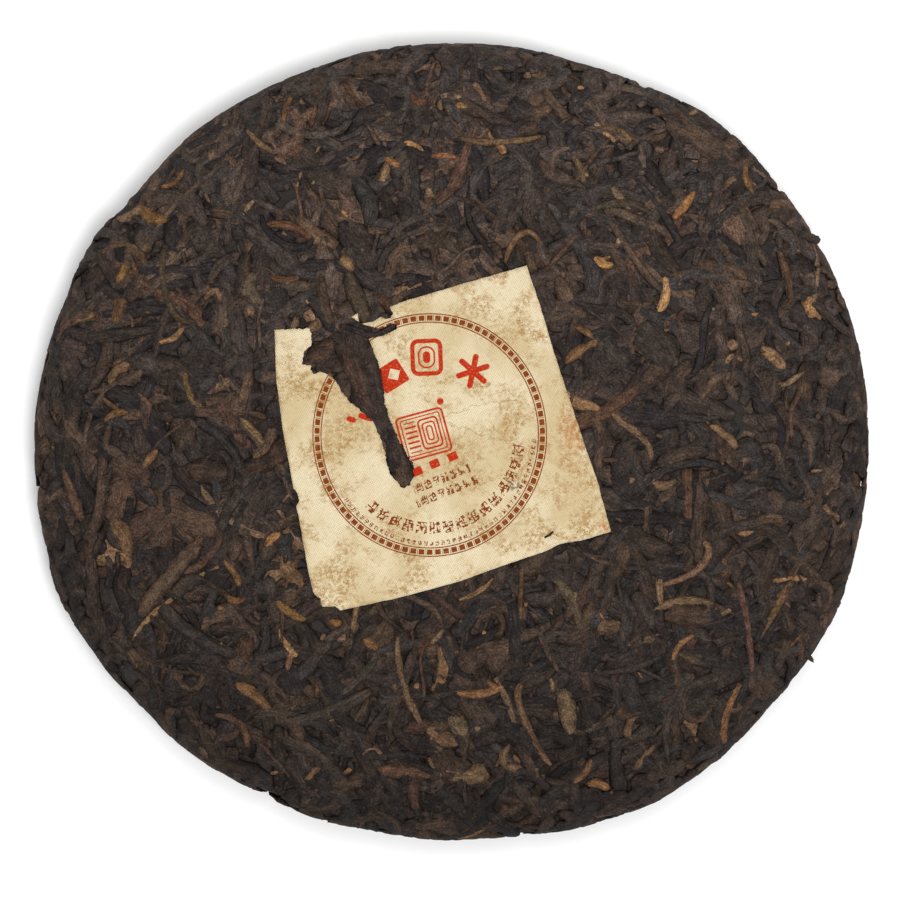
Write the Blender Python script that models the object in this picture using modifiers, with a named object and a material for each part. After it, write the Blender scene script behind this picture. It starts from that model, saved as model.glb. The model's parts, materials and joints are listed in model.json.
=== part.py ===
"""A small round cake of pressed dark tea with its paper ticket pressed into the top.

The cake lies on its flat underside with its domed face up. Lengths are in metres. The origin is on the
surface that it lies on, below the middle of its outline: +X runs along its longest side and +Z is up.
Bearings are in degrees, counter-clockwise from +X as seen from above.
"""

import math

import bmesh
import bpy
import numpy as np
from mathutils import Matrix, Vector, noise
from mathutils.geometry import delaunay_2d_cdt

MM = 0.001

# Outline of the cake from above: a circle with a few broad lobes and small local swells and flats
MEAN_RADIUS = 52.5 * MM
# (number of lobes, height as a share of the mean radius, bearing of one crest)
LOBES = ((2, 0.0231, 1.0), (3, 0.0080, -52.8), (4, 0.0042, 33.4))
# (bearing, how far it stands out, how far it reaches to each side)
SWELLS = (
    (50, 0.60 * MM, 14),
    (70, -0.35 * MM, 12),
    (101, 0.25 * MM, 12),
    (140, -0.45 * MM, 9),
    (152, 0.50 * MM, 8),
    (201, 0.55 * MM, 9),
    (220, -0.40 * MM, 8),
    (250, 0.35 * MM, 8),
    (278, -0.30 * MM, 12),
    (299, 0.30 * MM, 8),
    (319, -0.40 * MM, 10),
    (337, 0.35 * MM, 11),
)

# Section of the cake, from the middle of the top over the rim to the middle of the underside
CROWN_HEIGHT = 17.4 * MM
RIM_HEIGHT = 7.0 * MM  # where the cake is widest
DOME_POWER = 2.6  # how far out the top stays nearly level
SHOULDER_POWER = 2.2  # how round the shoulder is
FOOT_SHARE = 0.80  # outer edge of the flat underside, as a share of the outline's radius
HOLLOW_RADIUS = 15.0 * MM  # dimple that the knot of the pressing cloth leaves underneath
HOLLOW_DEPTH = 4.5 * MM

# Relief that the pressed leaves leave on the solid
CLUMP_SIZE = 8.0 * MM
CREASE_SHARE = 0.30  # width of a crease as a share of a clump
CREASE_DEPTH = 0.80 * MM
SWELL_SIZE = 16.0 * MM
SWELL_HEIGHT = 0.25 * MM
RIM_RELIEF = 0.35  # share of that relief left on the rim and in the hollow

# Mesh of the cake
TURN_STEPS = 110
TOP_RINGS = 23
RIM_RINGS = 6
FOOT_RINGS = 6
HOLLOW_RINGS = 5
RING_CROWDING = 0.86  # below 1, the top's rings lie closer together towards the shoulder
SHOULDER_SHARE = 0.86  # share of the outline's radius from which the relief grows shallower
WELD = 0.001 * MM

# Paper ticket: a slip with a tear that opens from its head, in its own frame, x to the right, y to its head
TICKET_CENTRE = (-2.15 * MM, 1.17 * MM)
TICKET_TURN = 15.3
TICKET_THICKNESS = 0.2 * MM
TICKET_GAP = 0.3 * MM
TICKET_REACH = (20.4 * MM, 18.6 * MM)  # half sizes of the bed that the slip lies in
BED_MARGIN = 2.6 * MM
BED_FADE = 3.0 * MM
TICKET_CELL = 2.4 * MM
TICKET_EDGE_CLEARANCE = 0.9 * MM
LEFT_EDGE = ((-16.4, 18.1), (-18.0, 11.0), (-19.2, 0.0), (-19.0, -3.5), (-19.6, -4.6), (-20.3, -12.4))
FOOT_CORNER = ((-20.2, -15.8), (-19.8, -17.1), (-17.7, -18.2))
FOOT_EDGE = ((-9.9, -18.6), (-2.1, -18.6), (9.1, -17.8), (17.8, -17.6))
RIGHT_EDGE = ((17.5, -8.0), (16.8, 6.0), (16.4, 17.5))
HEAD_EDGE = ((7.8, 17.4), (-1.6, 17.0), (-1.9, 15.7), (-5.4, 15.9))
TEAR_RIGHT = ((-1.4, 14.6), (-4.8, 13.7), (-4.9, 9.0), (-5.3, 4.0), (-4.9, 0.5), (-4.0, -2.9))
TEAR_LEFT = ((-5.8, -5.5), (-7.1, -2.4), (-7.2, 2.8), (-8.9, 5.9), (-10.5, 9.7), (-12.2, 11.4))
TEAR_HEAD = ((-14.1, 13.2), (-12.1, 15.2), (-12.0, 17.1))

SHARP_ANGLE = 50.0
TEA_COLOUR = (0.045, 0.032, 0.026, 1.0)
TEA_ROUGHNESS = 0.72
PAPER_COLOUR = (0.72, 0.58, 0.36, 1.0)
PAPER_ROUGHNESS = 0.85


def smooth_step(low, high, value):
    share = min(max((value - low) / (high - low), 0.0), 1.0)
    return share * share * (3.0 - 2.0 * share)


def outline_radius(bearing):
    """Radius of the cake's outline at a bearing in radians."""
    radius = MEAN_RADIUS
    for lobes, height, crest in LOBES:
        radius += MEAN_RADIUS * height * math.cos(lobes * (bearing - math.radians(crest)))
    for middle, rise, reach in SWELLS:
        away = (math.degrees(bearing) - middle + 180.0) % 360.0 - 180.0
        if abs(away) < reach:
            radius += rise * (1.0 + math.cos(math.pi * away / reach)) / 2.0
    return radius


def dome_height(share):
    """Height of the top at a share of the outline's radius."""
    fall = max(1.0 - share**DOME_POWER, 0.0)
    return RIM_HEIGHT + (CROWN_HEIGHT - RIM_HEIGHT) * fall ** (1.0 / SHOULDER_POWER)


def section_points():
    """Half section of the cake at its mean radius, from the middle of the top round to that of the underside."""
    points = []
    # The rings crowd towards the shoulder, where the dome turns down.
    for ring in range(TOP_RINGS + 1):
        share = math.sin(math.pi / 2.0 * (ring / TOP_RINGS) ** RING_CROWDING)
        points.append((share * MEAN_RADIUS, dome_height(share)))
    for ring in range(1, RIM_RINGS + 1):
        turn = math.pi / 2.0 * ring / RIM_RINGS
        share = FOOT_SHARE + (1.0 - FOOT_SHARE) * math.cos(turn)
        points.append((share * MEAN_RADIUS, RIM_HEIGHT * (1.0 - math.sin(turn))))
    foot_radius = FOOT_SHARE * MEAN_RADIUS
    for ring in range(1, FOOT_RINGS + 1):
        points.append((foot_radius + (HOLLOW_RADIUS - foot_radius) * ring / FOOT_RINGS, 0.0))
    for ring in range(1, HOLLOW_RINGS + 1):
        share = 1.0 - ring / HOLLOW_RINGS
        points.append((HOLLOW_RADIUS * share, HOLLOW_DEPTH * smooth_step(1.0, 0.0, share)))
    return points


def evaluated_copy(obj):
    """The object's mesh with its modifiers applied, as a new mesh."""
    graph = bpy.context.evaluated_depsgraph_get()
    return bpy.data.meshes.new_from_object(obj.evaluated_get(graph))


def principled(name, colour, roughness):
    material = bpy.data.materials.new(name)
    material.use_nodes = True
    shader = material.node_tree.nodes["Principled BSDF"]
    shader.inputs["Base Color"].default_value = colour
    shader.inputs["Roughness"].default_value = roughness
    material.diffuse_color = colour
    return material


def in_ticket_frame(x, y):
    """The place of a point of the cake in the ticket's own frame."""
    offset = Vector((x - TICKET_CENTRE[0], y - TICKET_CENTRE[1]))
    return offset @ Matrix.Rotation(math.radians(TICKET_TURN), 2)


def outside_bed(x, y):
    """How far a point lies outside the rectangle that the ticket lies in."""
    place = in_ticket_frame(x, y)
    beyond = (max(abs(place[axis]) - TICKET_REACH[axis], 0.0) for axis in (0, 1))
    return math.hypot(*beyond)


def pressed_relief(point):
    """Height of the pressed leaves at a point: clumps with creases between them, on broad swells."""
    near = noise.voronoi(point / CLUMP_SIZE)[0]
    crease = smooth_step(0.0, CREASE_SHARE, near[1] - near[0]) - 1.0
    swell = noise.noise(point / SWELL_SIZE)
    return CREASE_DEPTH * crease + SWELL_HEIGHT * swell


def relief_share(share, height):
    """How much of the relief shows at a place of the section: all on the top, none on the flat underside."""
    if height <= 0.0:
        return 0.0
    if height < RIM_HEIGHT:
        return RIM_RELIEF * smooth_step(0.0, RIM_HEIGHT / 2.0, height)
    return 1.0 + (RIM_RELIEF - 1.0) * smooth_step(SHOULDER_SHARE, 1.0, share)


def make_cake(collection):
    points = section_points()
    profile = bpy.data.meshes.new("section")
    verts = [(radius, 0.0, height) for radius, height in points]
    edges = [(start, start + 1) for start in range(len(points) - 1)]
    profile.from_pydata(verts, edges, [])
    turned = bpy.data.objects.new("turned", profile)
    collection.objects.link(turned)
    screw = turned.modifiers.new("turn", "SCREW")
    screw.steps = screw.render_steps = TURN_STEPS
    screw.use_merge_vertices = True
    screw.merge_threshold = WELD
    mesh = evaluated_copy(turned)
    bpy.data.objects.remove(turned)

    shape = bmesh.new()
    shape.from_mesh(mesh)
    bmesh.ops.remove_doubles(shape, verts=shape.verts, dist=WELD)
    shape.normal_update()
    for vert in shape.verts:
        share = math.hypot(vert.co.x, vert.co.y) / MEAN_RADIUS
        bearing = math.atan2(vert.co.y, vert.co.x)
        height = vert.co.z
        out = vert.normal.copy()
        stretch = outline_radius(bearing) / MEAN_RADIUS
        place = Vector((vert.co.x * stretch, vert.co.y * stretch, height))
        on_top = height > RIM_HEIGHT
        beyond = outside_bed(place.x, place.y) if on_top else math.inf
        shown = smooth_step(BED_MARGIN, BED_MARGIN + BED_FADE, beyond)
        place += out * (pressed_relief(place) * relief_share(share, height) * shown)
        place.z -= TICKET_GAP * (1.0 - shown)
        vert.co = place
    bmesh.ops.triangulate(shape, faces=shape.faces)
    bmesh.ops.recalc_face_normals(shape, faces=shape.faces)
    shape.to_mesh(mesh)
    shape.free()
    mesh.name = "tea_cake"
    mesh.shade_smooth()
    mesh.set_sharp_from_angle(angle=math.radians(SHARP_ANGLE))
    cake = bpy.data.objects.new("tea_cake", mesh)
    collection.objects.link(cake)
    cake.data.materials.append(principled("tea_leaf", TEA_COLOUR, TEA_ROUGHNESS))
    return cake


def ticket_outline():
    """The slip's outline, counter-clockwise: down its left, along its foot, up its right, round the tear."""
    runs = (LEFT_EDGE, FOOT_CORNER, FOOT_EDGE, RIGHT_EDGE, HEAD_EDGE, TEAR_RIGHT, TEAR_LEFT, TEAR_HEAD)
    return [Vector((x * MM, y * MM)) for run in runs for x, y in run]


def distance_to_outline(point, outline):
    nearest = math.inf
    for start, end in zip(outline, outline[1:] + outline[:1]):
        along = end - start
        share = min(max((point - start).dot(along) / along.length_squared, 0.0), 1.0)
        nearest = min(nearest, (point - start - along * share).length)
    return nearest


def make_ticket(collection):
    outline = ticket_outline()
    columns = math.ceil(TICKET_REACH[0] / TICKET_CELL)
    rows = math.ceil(TICKET_REACH[1] / TICKET_CELL)
    inner = []
    for column in range(-columns, columns + 1):
        for row in range(-rows, rows + 1):
            point = Vector((column * TICKET_CELL, row * TICKET_CELL))
            if distance_to_outline(point, outline) > TICKET_EDGE_CLEARANCE:
                inner.append(point)
    inside_constraints = 1
    flat, _, faces, *_ = delaunay_2d_cdt(
        outline + inner, [], [list(range(len(outline)))], inside_constraints, WELD
    )
    turn = Matrix.Rotation(math.radians(TICKET_TURN), 2)
    verts = []
    for point in flat:
        place = turn @ point + Vector(TICKET_CENTRE)
        share = place.length / outline_radius(math.atan2(place.y, place.x))
        verts.append((place.x, place.y, dome_height(share)))
    mesh = bpy.data.meshes.new("slip")
    mesh.from_pydata(verts, [], faces)
    shape = bmesh.new()
    shape.from_mesh(mesh)
    loose = [vert for vert in shape.verts if not vert.link_faces]
    bmesh.ops.delete(shape, geom=loose, context="VERTS")
    upside_down = [face for face in shape.faces if face.normal.z < 0.0]
    bmesh.ops.reverse_faces(shape, faces=upside_down)
    shape.to_mesh(mesh)
    shape.free()
    slip = bpy.data.objects.new("slip", mesh)
    collection.objects.link(slip)
    thicken = slip.modifiers.new("thickness", "SOLIDIFY")
    thicken.thickness = TICKET_THICKNESS
    thicken.offset = 1.0
    ticket = bpy.data.objects.new("paper_ticket", evaluated_copy(slip))
    bpy.data.objects.remove(slip)
    collection.objects.link(ticket)
    ticket.data.materials.append(principled("ticket_paper", PAPER_COLOUR, PAPER_ROUGHNESS))
    return ticket


def centre_outline(pieces, cake):
    """Moves all pieces so that the origin is below the middle of the cake's outline box."""
    corners = np.array([vert.co[:] for vert in cake.data.vertices])
    middle = (corners.min(axis=0) + corners.max(axis=0)) / 2.0
    shift = Matrix.Translation((-middle[0], -middle[1], -corners[:, 2].min()))
    for piece in pieces:
        piece.data.transform(shift)


def main():
    for obj in list(bpy.data.objects):
        bpy.data.objects.remove(obj)
    collection = bpy.data.collections.new("pu_erh_tea_cake")
    bpy.context.scene.collection.children.link(collection)
    cake = make_cake(collection)
    ticket = make_ticket(collection)
    centre_outline((cake, ticket), cake)


main()
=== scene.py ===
"""Looks of a small pressed tea cake: thousands of pressed leaves over a dark core, and its torn paper ticket.

Lengths are in metres, or in millimetres times MM. +Z is up, and the camera looks straight down with +Y
towards the top of its picture. Bearings are counter-clockwise from +X about the middle of the outline.
"""

import json
import math

import bmesh
import bpy
import numpy as np
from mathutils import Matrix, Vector
from mathutils.geometry import delaunay_2d_cdt

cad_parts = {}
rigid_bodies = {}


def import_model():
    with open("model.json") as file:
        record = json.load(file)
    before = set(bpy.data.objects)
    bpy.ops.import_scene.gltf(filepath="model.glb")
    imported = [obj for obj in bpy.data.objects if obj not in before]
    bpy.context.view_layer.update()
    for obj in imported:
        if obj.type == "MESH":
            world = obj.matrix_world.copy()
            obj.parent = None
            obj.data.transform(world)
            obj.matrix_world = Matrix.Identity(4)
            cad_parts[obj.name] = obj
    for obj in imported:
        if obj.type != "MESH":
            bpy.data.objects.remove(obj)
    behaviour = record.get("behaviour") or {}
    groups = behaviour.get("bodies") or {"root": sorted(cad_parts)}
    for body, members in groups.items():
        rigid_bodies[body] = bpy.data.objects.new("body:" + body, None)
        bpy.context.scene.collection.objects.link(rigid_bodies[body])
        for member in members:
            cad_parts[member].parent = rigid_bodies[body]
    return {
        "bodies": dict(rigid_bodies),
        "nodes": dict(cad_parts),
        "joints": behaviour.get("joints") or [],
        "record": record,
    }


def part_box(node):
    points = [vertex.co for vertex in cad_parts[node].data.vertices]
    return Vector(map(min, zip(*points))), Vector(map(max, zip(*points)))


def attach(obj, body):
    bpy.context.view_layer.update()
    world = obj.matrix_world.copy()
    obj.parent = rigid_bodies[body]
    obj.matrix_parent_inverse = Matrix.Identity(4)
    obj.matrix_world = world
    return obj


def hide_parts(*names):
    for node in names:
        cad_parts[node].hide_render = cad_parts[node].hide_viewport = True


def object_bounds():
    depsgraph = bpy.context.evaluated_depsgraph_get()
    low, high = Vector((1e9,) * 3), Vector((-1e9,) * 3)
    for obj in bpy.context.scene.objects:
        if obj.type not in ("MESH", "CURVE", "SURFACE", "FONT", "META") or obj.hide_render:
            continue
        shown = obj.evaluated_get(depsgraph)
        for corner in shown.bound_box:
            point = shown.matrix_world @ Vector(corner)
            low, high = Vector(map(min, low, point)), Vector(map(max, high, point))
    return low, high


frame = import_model()
cad_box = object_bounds()

MM = 0.001

# ---------------------------------------------------------------- shape of the cake, as the CAD part has it

MEAN_RADIUS = 52.5 * MM
LOBES = ((2, 0.0231, 1.0), (3, 0.0080, -52.8), (4, 0.0042, 33.4))
SWELLS = (
    (50, 0.60, 14),
    (70, -0.35, 12),
    (101, 0.25, 12),
    (140, -0.45, 9),
    (152, 0.50, 8),
    (201, 0.55, 9),
    (220, -0.40, 8),
    (250, 0.35, 8),
    (278, -0.30, 12),
    (299, 0.30, 8),
    (319, -0.40, 10),
    (337, 0.35, 11),
)
CROWN_HEIGHT = 17.4 * MM
RIM_HEIGHT = 7.0 * MM
DOME_POWER = 2.6
SHOULDER_POWER = 2.2
FOOT_SHARE = 0.80
HOLLOW_RADIUS = 15.0 * MM
HOLLOW_DEPTH = 4.5 * MM


def smooth_step(low, high, value):
    share = np.clip((value - low) / (high - low), 0.0, 1.0)
    return share * share * (3.0 - 2.0 * share)


def outline_radius(bearing):
    """Radius of the outline at each bearing, in radians."""
    radius = np.full(np.shape(bearing), MEAN_RADIUS)
    for lobes, height, crest in LOBES:
        radius += MEAN_RADIUS * height * np.cos(lobes * (bearing - math.radians(crest)))
    for middle, rise, reach in SWELLS:
        away = np.abs((np.degrees(bearing) - middle + 180.0) % 360.0 - 180.0)
        radius += np.where(away < reach, rise * MM * (1.0 + np.cos(math.pi * away / reach)) / 2.0, 0.0)
    return radius


def dome_height(share):
    fall = np.clip(1.0 - np.abs(share) ** DOME_POWER, 0.0, None)
    return RIM_HEIGHT + (CROWN_HEIGHT - RIM_HEIGHT) * fall ** (1.0 / SHOULDER_POWER)


def outline_middle():
    """Where the outline's own centre lies, so that the outline's box is centred on the CAD node's."""
    bearing = np.linspace(-math.pi, math.pi, 1440, endpoint=False)
    radius = outline_radius(bearing)
    points = np.stack([radius * np.cos(bearing), radius * np.sin(bearing)], 1)
    low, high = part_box("tea_cake")
    box_middle = (np.array(low)[:2] + np.array(high)[:2]) / 2.0
    return box_middle - (points.min(axis=0) + points.max(axis=0)) / 2.0


CENTRE = outline_middle()
BOX_INSET = 0.005 * MM
BOX_LOW = np.array(cad_box[0]) + BOX_INSET
BOX_HIGH = np.array(cad_box[1]) - BOX_INSET


class Section:
    """The half section of the cake at its mean radius: evenly spaced points with their outward normals."""

    SPACING = 0.25 * MM

    def __init__(self):
        turn = np.linspace(0.0, math.pi / 2.0, 400)
        share = np.sin(turn)
        top = np.stack([share * MEAN_RADIUS, dome_height(share)], 1)
        rim_share = FOOT_SHARE + (1.0 - FOOT_SHARE) * np.cos(turn)
        rim = np.stack([rim_share * MEAN_RADIUS, RIM_HEIGHT * (1.0 - np.sin(turn))], 1)
        foot = np.array([[FOOT_SHARE * MEAN_RADIUS, 0.0], [HOLLOW_RADIUS, 0.0]])
        inward = np.linspace(1.0, 0.0, 60)
        hollow = np.stack([inward * HOLLOW_RADIUS, HOLLOW_DEPTH * (1.0 - smooth_step(0.0, 1.0, inward))], 1)
        raw = np.concatenate([top, rim[1:], foot[1:], hollow[1:]])
        run = np.concatenate([[0.0], np.cumsum(np.hypot(*np.diff(raw, axis=0).T))])
        self.length = run[-1]
        self.run = np.linspace(0.0, self.length, round(self.length / self.SPACING))
        self.points = np.stack([np.interp(self.run, run, raw[:, 0]), np.interp(self.run, run, raw[:, 1])], 1)
        along = np.gradient(self.points, axis=0)
        along /= np.linalg.norm(along, axis=1, keepdims=True)
        self.normals = np.stack([-along[:, 1], along[:, 0]], 1)
        self.rim_run = float(run[len(top) - 1])

    def nearest(self, radius, height):
        """For each place in the section's plane: its foot on the section, the normal and the run there."""
        flat = np.stack([radius.ravel(), height.ravel()], 1)
        index = np.empty(len(flat), int)
        for start in range(0, len(flat), 20000):
            part = flat[start : start + 20000]
            gap = part[:, None, :] - self.points[None, :, :]
            index[start : start + 20000] = (gap**2).sum(-1).argmin(1)
        normal = self.normals[index]
        offset = ((flat - self.points[index]) * normal).sum(1, keepdims=True)
        foot = flat - offset * normal
        shape = radius.shape
        return foot.reshape(*shape, 2), normal.reshape(*shape, 2), self.run[index].reshape(shape)


SECTION = Section()


def on_surface(points):
    """The feet of points on the cake's smooth surface, their outward normals and runs along the section."""
    x = points[..., 0] - CENTRE[0]
    y = points[..., 1] - CENTRE[1]
    radius = np.hypot(x, y)
    bearing = np.arctan2(y, x)
    stretch = outline_radius(bearing) / MEAN_RADIUS
    foot, normal, run = SECTION.nearest(radius / stretch, points[..., 2])
    reach = np.abs(foot[..., 0]) * stretch
    cos, sin = np.cos(bearing), np.sin(bearing)
    place = np.stack([CENTRE[0] + reach * cos, CENTRE[1] + reach * sin, foot[..., 1]], -1)
    outward = np.stack([normal[..., 0] * cos, normal[..., 0] * sin, normal[..., 1]], -1)
    return place, outward, run


def place_at(bearing, run):
    """Places on the surface at a bearing and a run along the section from the middle of the top."""
    radius = np.interp(run, SECTION.run, SECTION.points[:, 0])
    height = np.interp(run, SECTION.run, SECTION.points[:, 1])
    reach = radius * outline_radius(bearing) / MEAN_RADIUS
    return np.stack([CENTRE[0] + reach * np.cos(bearing), CENTRE[1] + reach * np.sin(bearing), height], -1)


# ---------------------------------------------------------------- meshes from arrays


def make_object(name, verts, loops, loop_totals, smooth=True):
    """A mesh object from arrays: vertices, the vertex of each face corner, each face's corner count."""
    mesh = bpy.data.meshes.new(name)
    mesh.vertices.add(len(verts))
    mesh.vertices.foreach_set("co", np.ascontiguousarray(verts, np.float32).ravel())
    mesh.loops.add(len(loops))
    mesh.loops.foreach_set("vertex_index", np.ascontiguousarray(loops, np.int32))
    mesh.polygons.add(len(loop_totals))
    starts = np.concatenate([[0], np.cumsum(loop_totals)[:-1]])
    mesh.polygons.foreach_set("loop_start", np.ascontiguousarray(starts, np.int32))
    mesh.update(calc_edges=True)
    if smooth:
        mesh.shade_smooth()
    obj = bpy.data.objects.new(name, mesh)
    bpy.context.scene.collection.objects.link(obj)
    return obj


def add_vector(obj, name, values):
    obj.data.attributes.new(name, "FLOAT_VECTOR", "POINT").data.foreach_set(
        "vector", np.ascontiguousarray(values, np.float32).ravel()
    )


def add_colour(obj, name, values):
    rgba = np.concatenate([values, np.ones((len(values), 1))], 1)
    obj.data.attributes.new(name, "FLOAT_COLOR", "POINT").data.foreach_set(
        "color", np.ascontiguousarray(rgba, np.float32).ravel()
    )


def add_bake_map(obj, uv):
    layer = obj.data.uv_layers.new(name="OFBake")
    layer.data.foreach_set("uv", np.ascontiguousarray(uv, np.float32).ravel())


# ---------------------------------------------------------------- leaves

# One leaf's section: across, as a share of the half width, and height, as a share of the thickness.
# It runs over the pressed top from one edge to the other and back underneath.
SECTION_ACROSS = np.array([-1.0, -0.90, -0.42, 0.42, 0.90, 1.0, 0.5, -0.5])
SECTION_HEIGHT = np.array([-0.66, -0.26, -0.01, -0.01, -0.26, -0.66, -1.0, -1.0])
# Painted shade: each leaf is drawn darker towards its edges, where it sinks into the crevices between leaves,
# and on its underside.
SECTION_PAINTED_SHADE = np.array([0.16, 0.62, 1.04, 1.04, 0.62, 0.16, 0.20, 0.20])  # edges and underside are darker
TOP_POINTS = 6
DIVE_SHARE = 0.3  # share of a leaf's length over which its end dives under the others
CEILING_SHARPNESS = 12.0  # how sharply leaves are held down at the smooth surface
ROUNDING = np.array([0.3, 1.0, 0.12, 0.12, 1.0, 0.3, 0.0, 0.0])  # points that sink as a leaf is rounder
FOLDING = np.array([0.0, 0.0, 1.0, 0.0, 0.0, 0.0, 0.0, 0.0])  # point that sinks in a lengthwise fold


def waves(rng, count, share, strength, most=3):
    """Smooth random waves along each leaf, one row a leaf."""
    total = np.zeros((count, len(share)))
    for cycles in range(1, most + 1):
        phase = rng.uniform(0.0, 2.0 * math.pi, (count, 1))
        size = rng.normal(0.0, 1.0 / cycles, (count, 1))
        total += size * np.sin(2.0 * math.pi * cycles * share[None, :] * 0.8 + phase)
    return strength * total


def creep(start, heading, length, turn, sway, rings):
    """Centre lines that creep over the surface: places, directions and normals, one row a leaf."""
    place, normal, _ = on_surface(start)
    bearing = np.arctan2(place[:, 1] - CENTRE[1], place[:, 0] - CENTRE[0])
    around = np.stack([-np.sin(bearing), np.cos(bearing), np.zeros_like(bearing)], -1)
    across = np.cross(normal, around)
    along = around * np.cos(heading)[:, None] + across * np.sin(heading)[:, None]
    step = (length / (rings - 1))[:, None]
    places, ways, normals = [], [], []
    for ring in range(rings):
        places.append(place)
        normals.append(normal)
        along = along - normal * (along * normal).sum(1, keepdims=True)
        along /= np.linalg.norm(along, axis=1, keepdims=True)
        ways.append(along)
        angle = (turn / (rings - 1) + sway[:, ring])[:, None]
        place, normal, _ = on_surface(place + along * step)
        along = along * np.cos(angle) + np.cross(normal, along) * np.sin(angle)
    return np.stack(places, 1), np.stack(ways, 1), np.stack(normals, 1)


def bundle_faces(count, rings, around):
    """Corners and face sizes of closed tubes: their sides, then their two caps."""
    ring = np.arange(rings - 1)[:, None]
    point = np.arange(around)[None, :]
    following = (point + 1) % around
    quad = np.stack(
        [
            ring * around + point,
            ring * around + following,
            (ring + 1) * around + following,
            (ring + 1) * around + point,
        ],
        -1,
    ).reshape(-1)
    first_cap = np.arange(around)[::-1]
    last_cap = (rings - 1) * around + np.arange(around)
    one = np.concatenate([quad, first_cap, last_cap])
    base = np.arange(count)[:, None] * rings * around
    loops = (one[None, :] + base).ravel()
    totals = np.tile(np.concatenate([np.full((rings - 1) * around, 4), [around, around]]), count)
    return loops, totals


def bundle_uv(count, rings, around):
    """A map that gives each leaf its own cell, its length up the cell and its girth across it."""
    columns = math.ceil(math.sqrt(count * 1.6))
    rows = math.ceil(count / columns)
    inner = 0.86
    ring = np.arange(rings - 1)[:, None] + np.zeros((1, around))
    point = np.arange(around)[None, :] + np.zeros((rings - 1, 1))
    along = np.stack([ring, ring, ring + 1, ring + 1], -1) / (rings - 1)
    across = np.stack([point, point + 1, point + 1, point], -1) / around
    sides = np.stack([across, along], -1).reshape(-1, 2)
    turn = 2.0 * math.pi * np.arange(around) / around
    disc = np.stack([0.5 + 0.5 * np.cos(turn), 0.5 + 0.5 * np.sin(turn)], -1)
    cap_size = 0.06
    low_cap = np.stack([disc[::-1, 0] * 0.4 + 0.05, disc[::-1, 1] * cap_size - 0.075], -1)
    high_cap = np.stack([disc[:, 0] * 0.4 + 0.55, disc[:, 1] * cap_size - 0.075], -1)
    one = np.concatenate([sides, low_cap, high_cap])
    one[:, 1] = (one[:, 1] + 0.08) / 1.09
    cell = np.arange(count)
    corner = np.stack([cell % columns, cell // columns], -1)[:, None, :]
    uv = (corner + (1.0 - inner) / 2.0 + one[None, :, :] * inner) / np.array([columns, rows])
    return uv.reshape(-1, 2)


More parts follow.
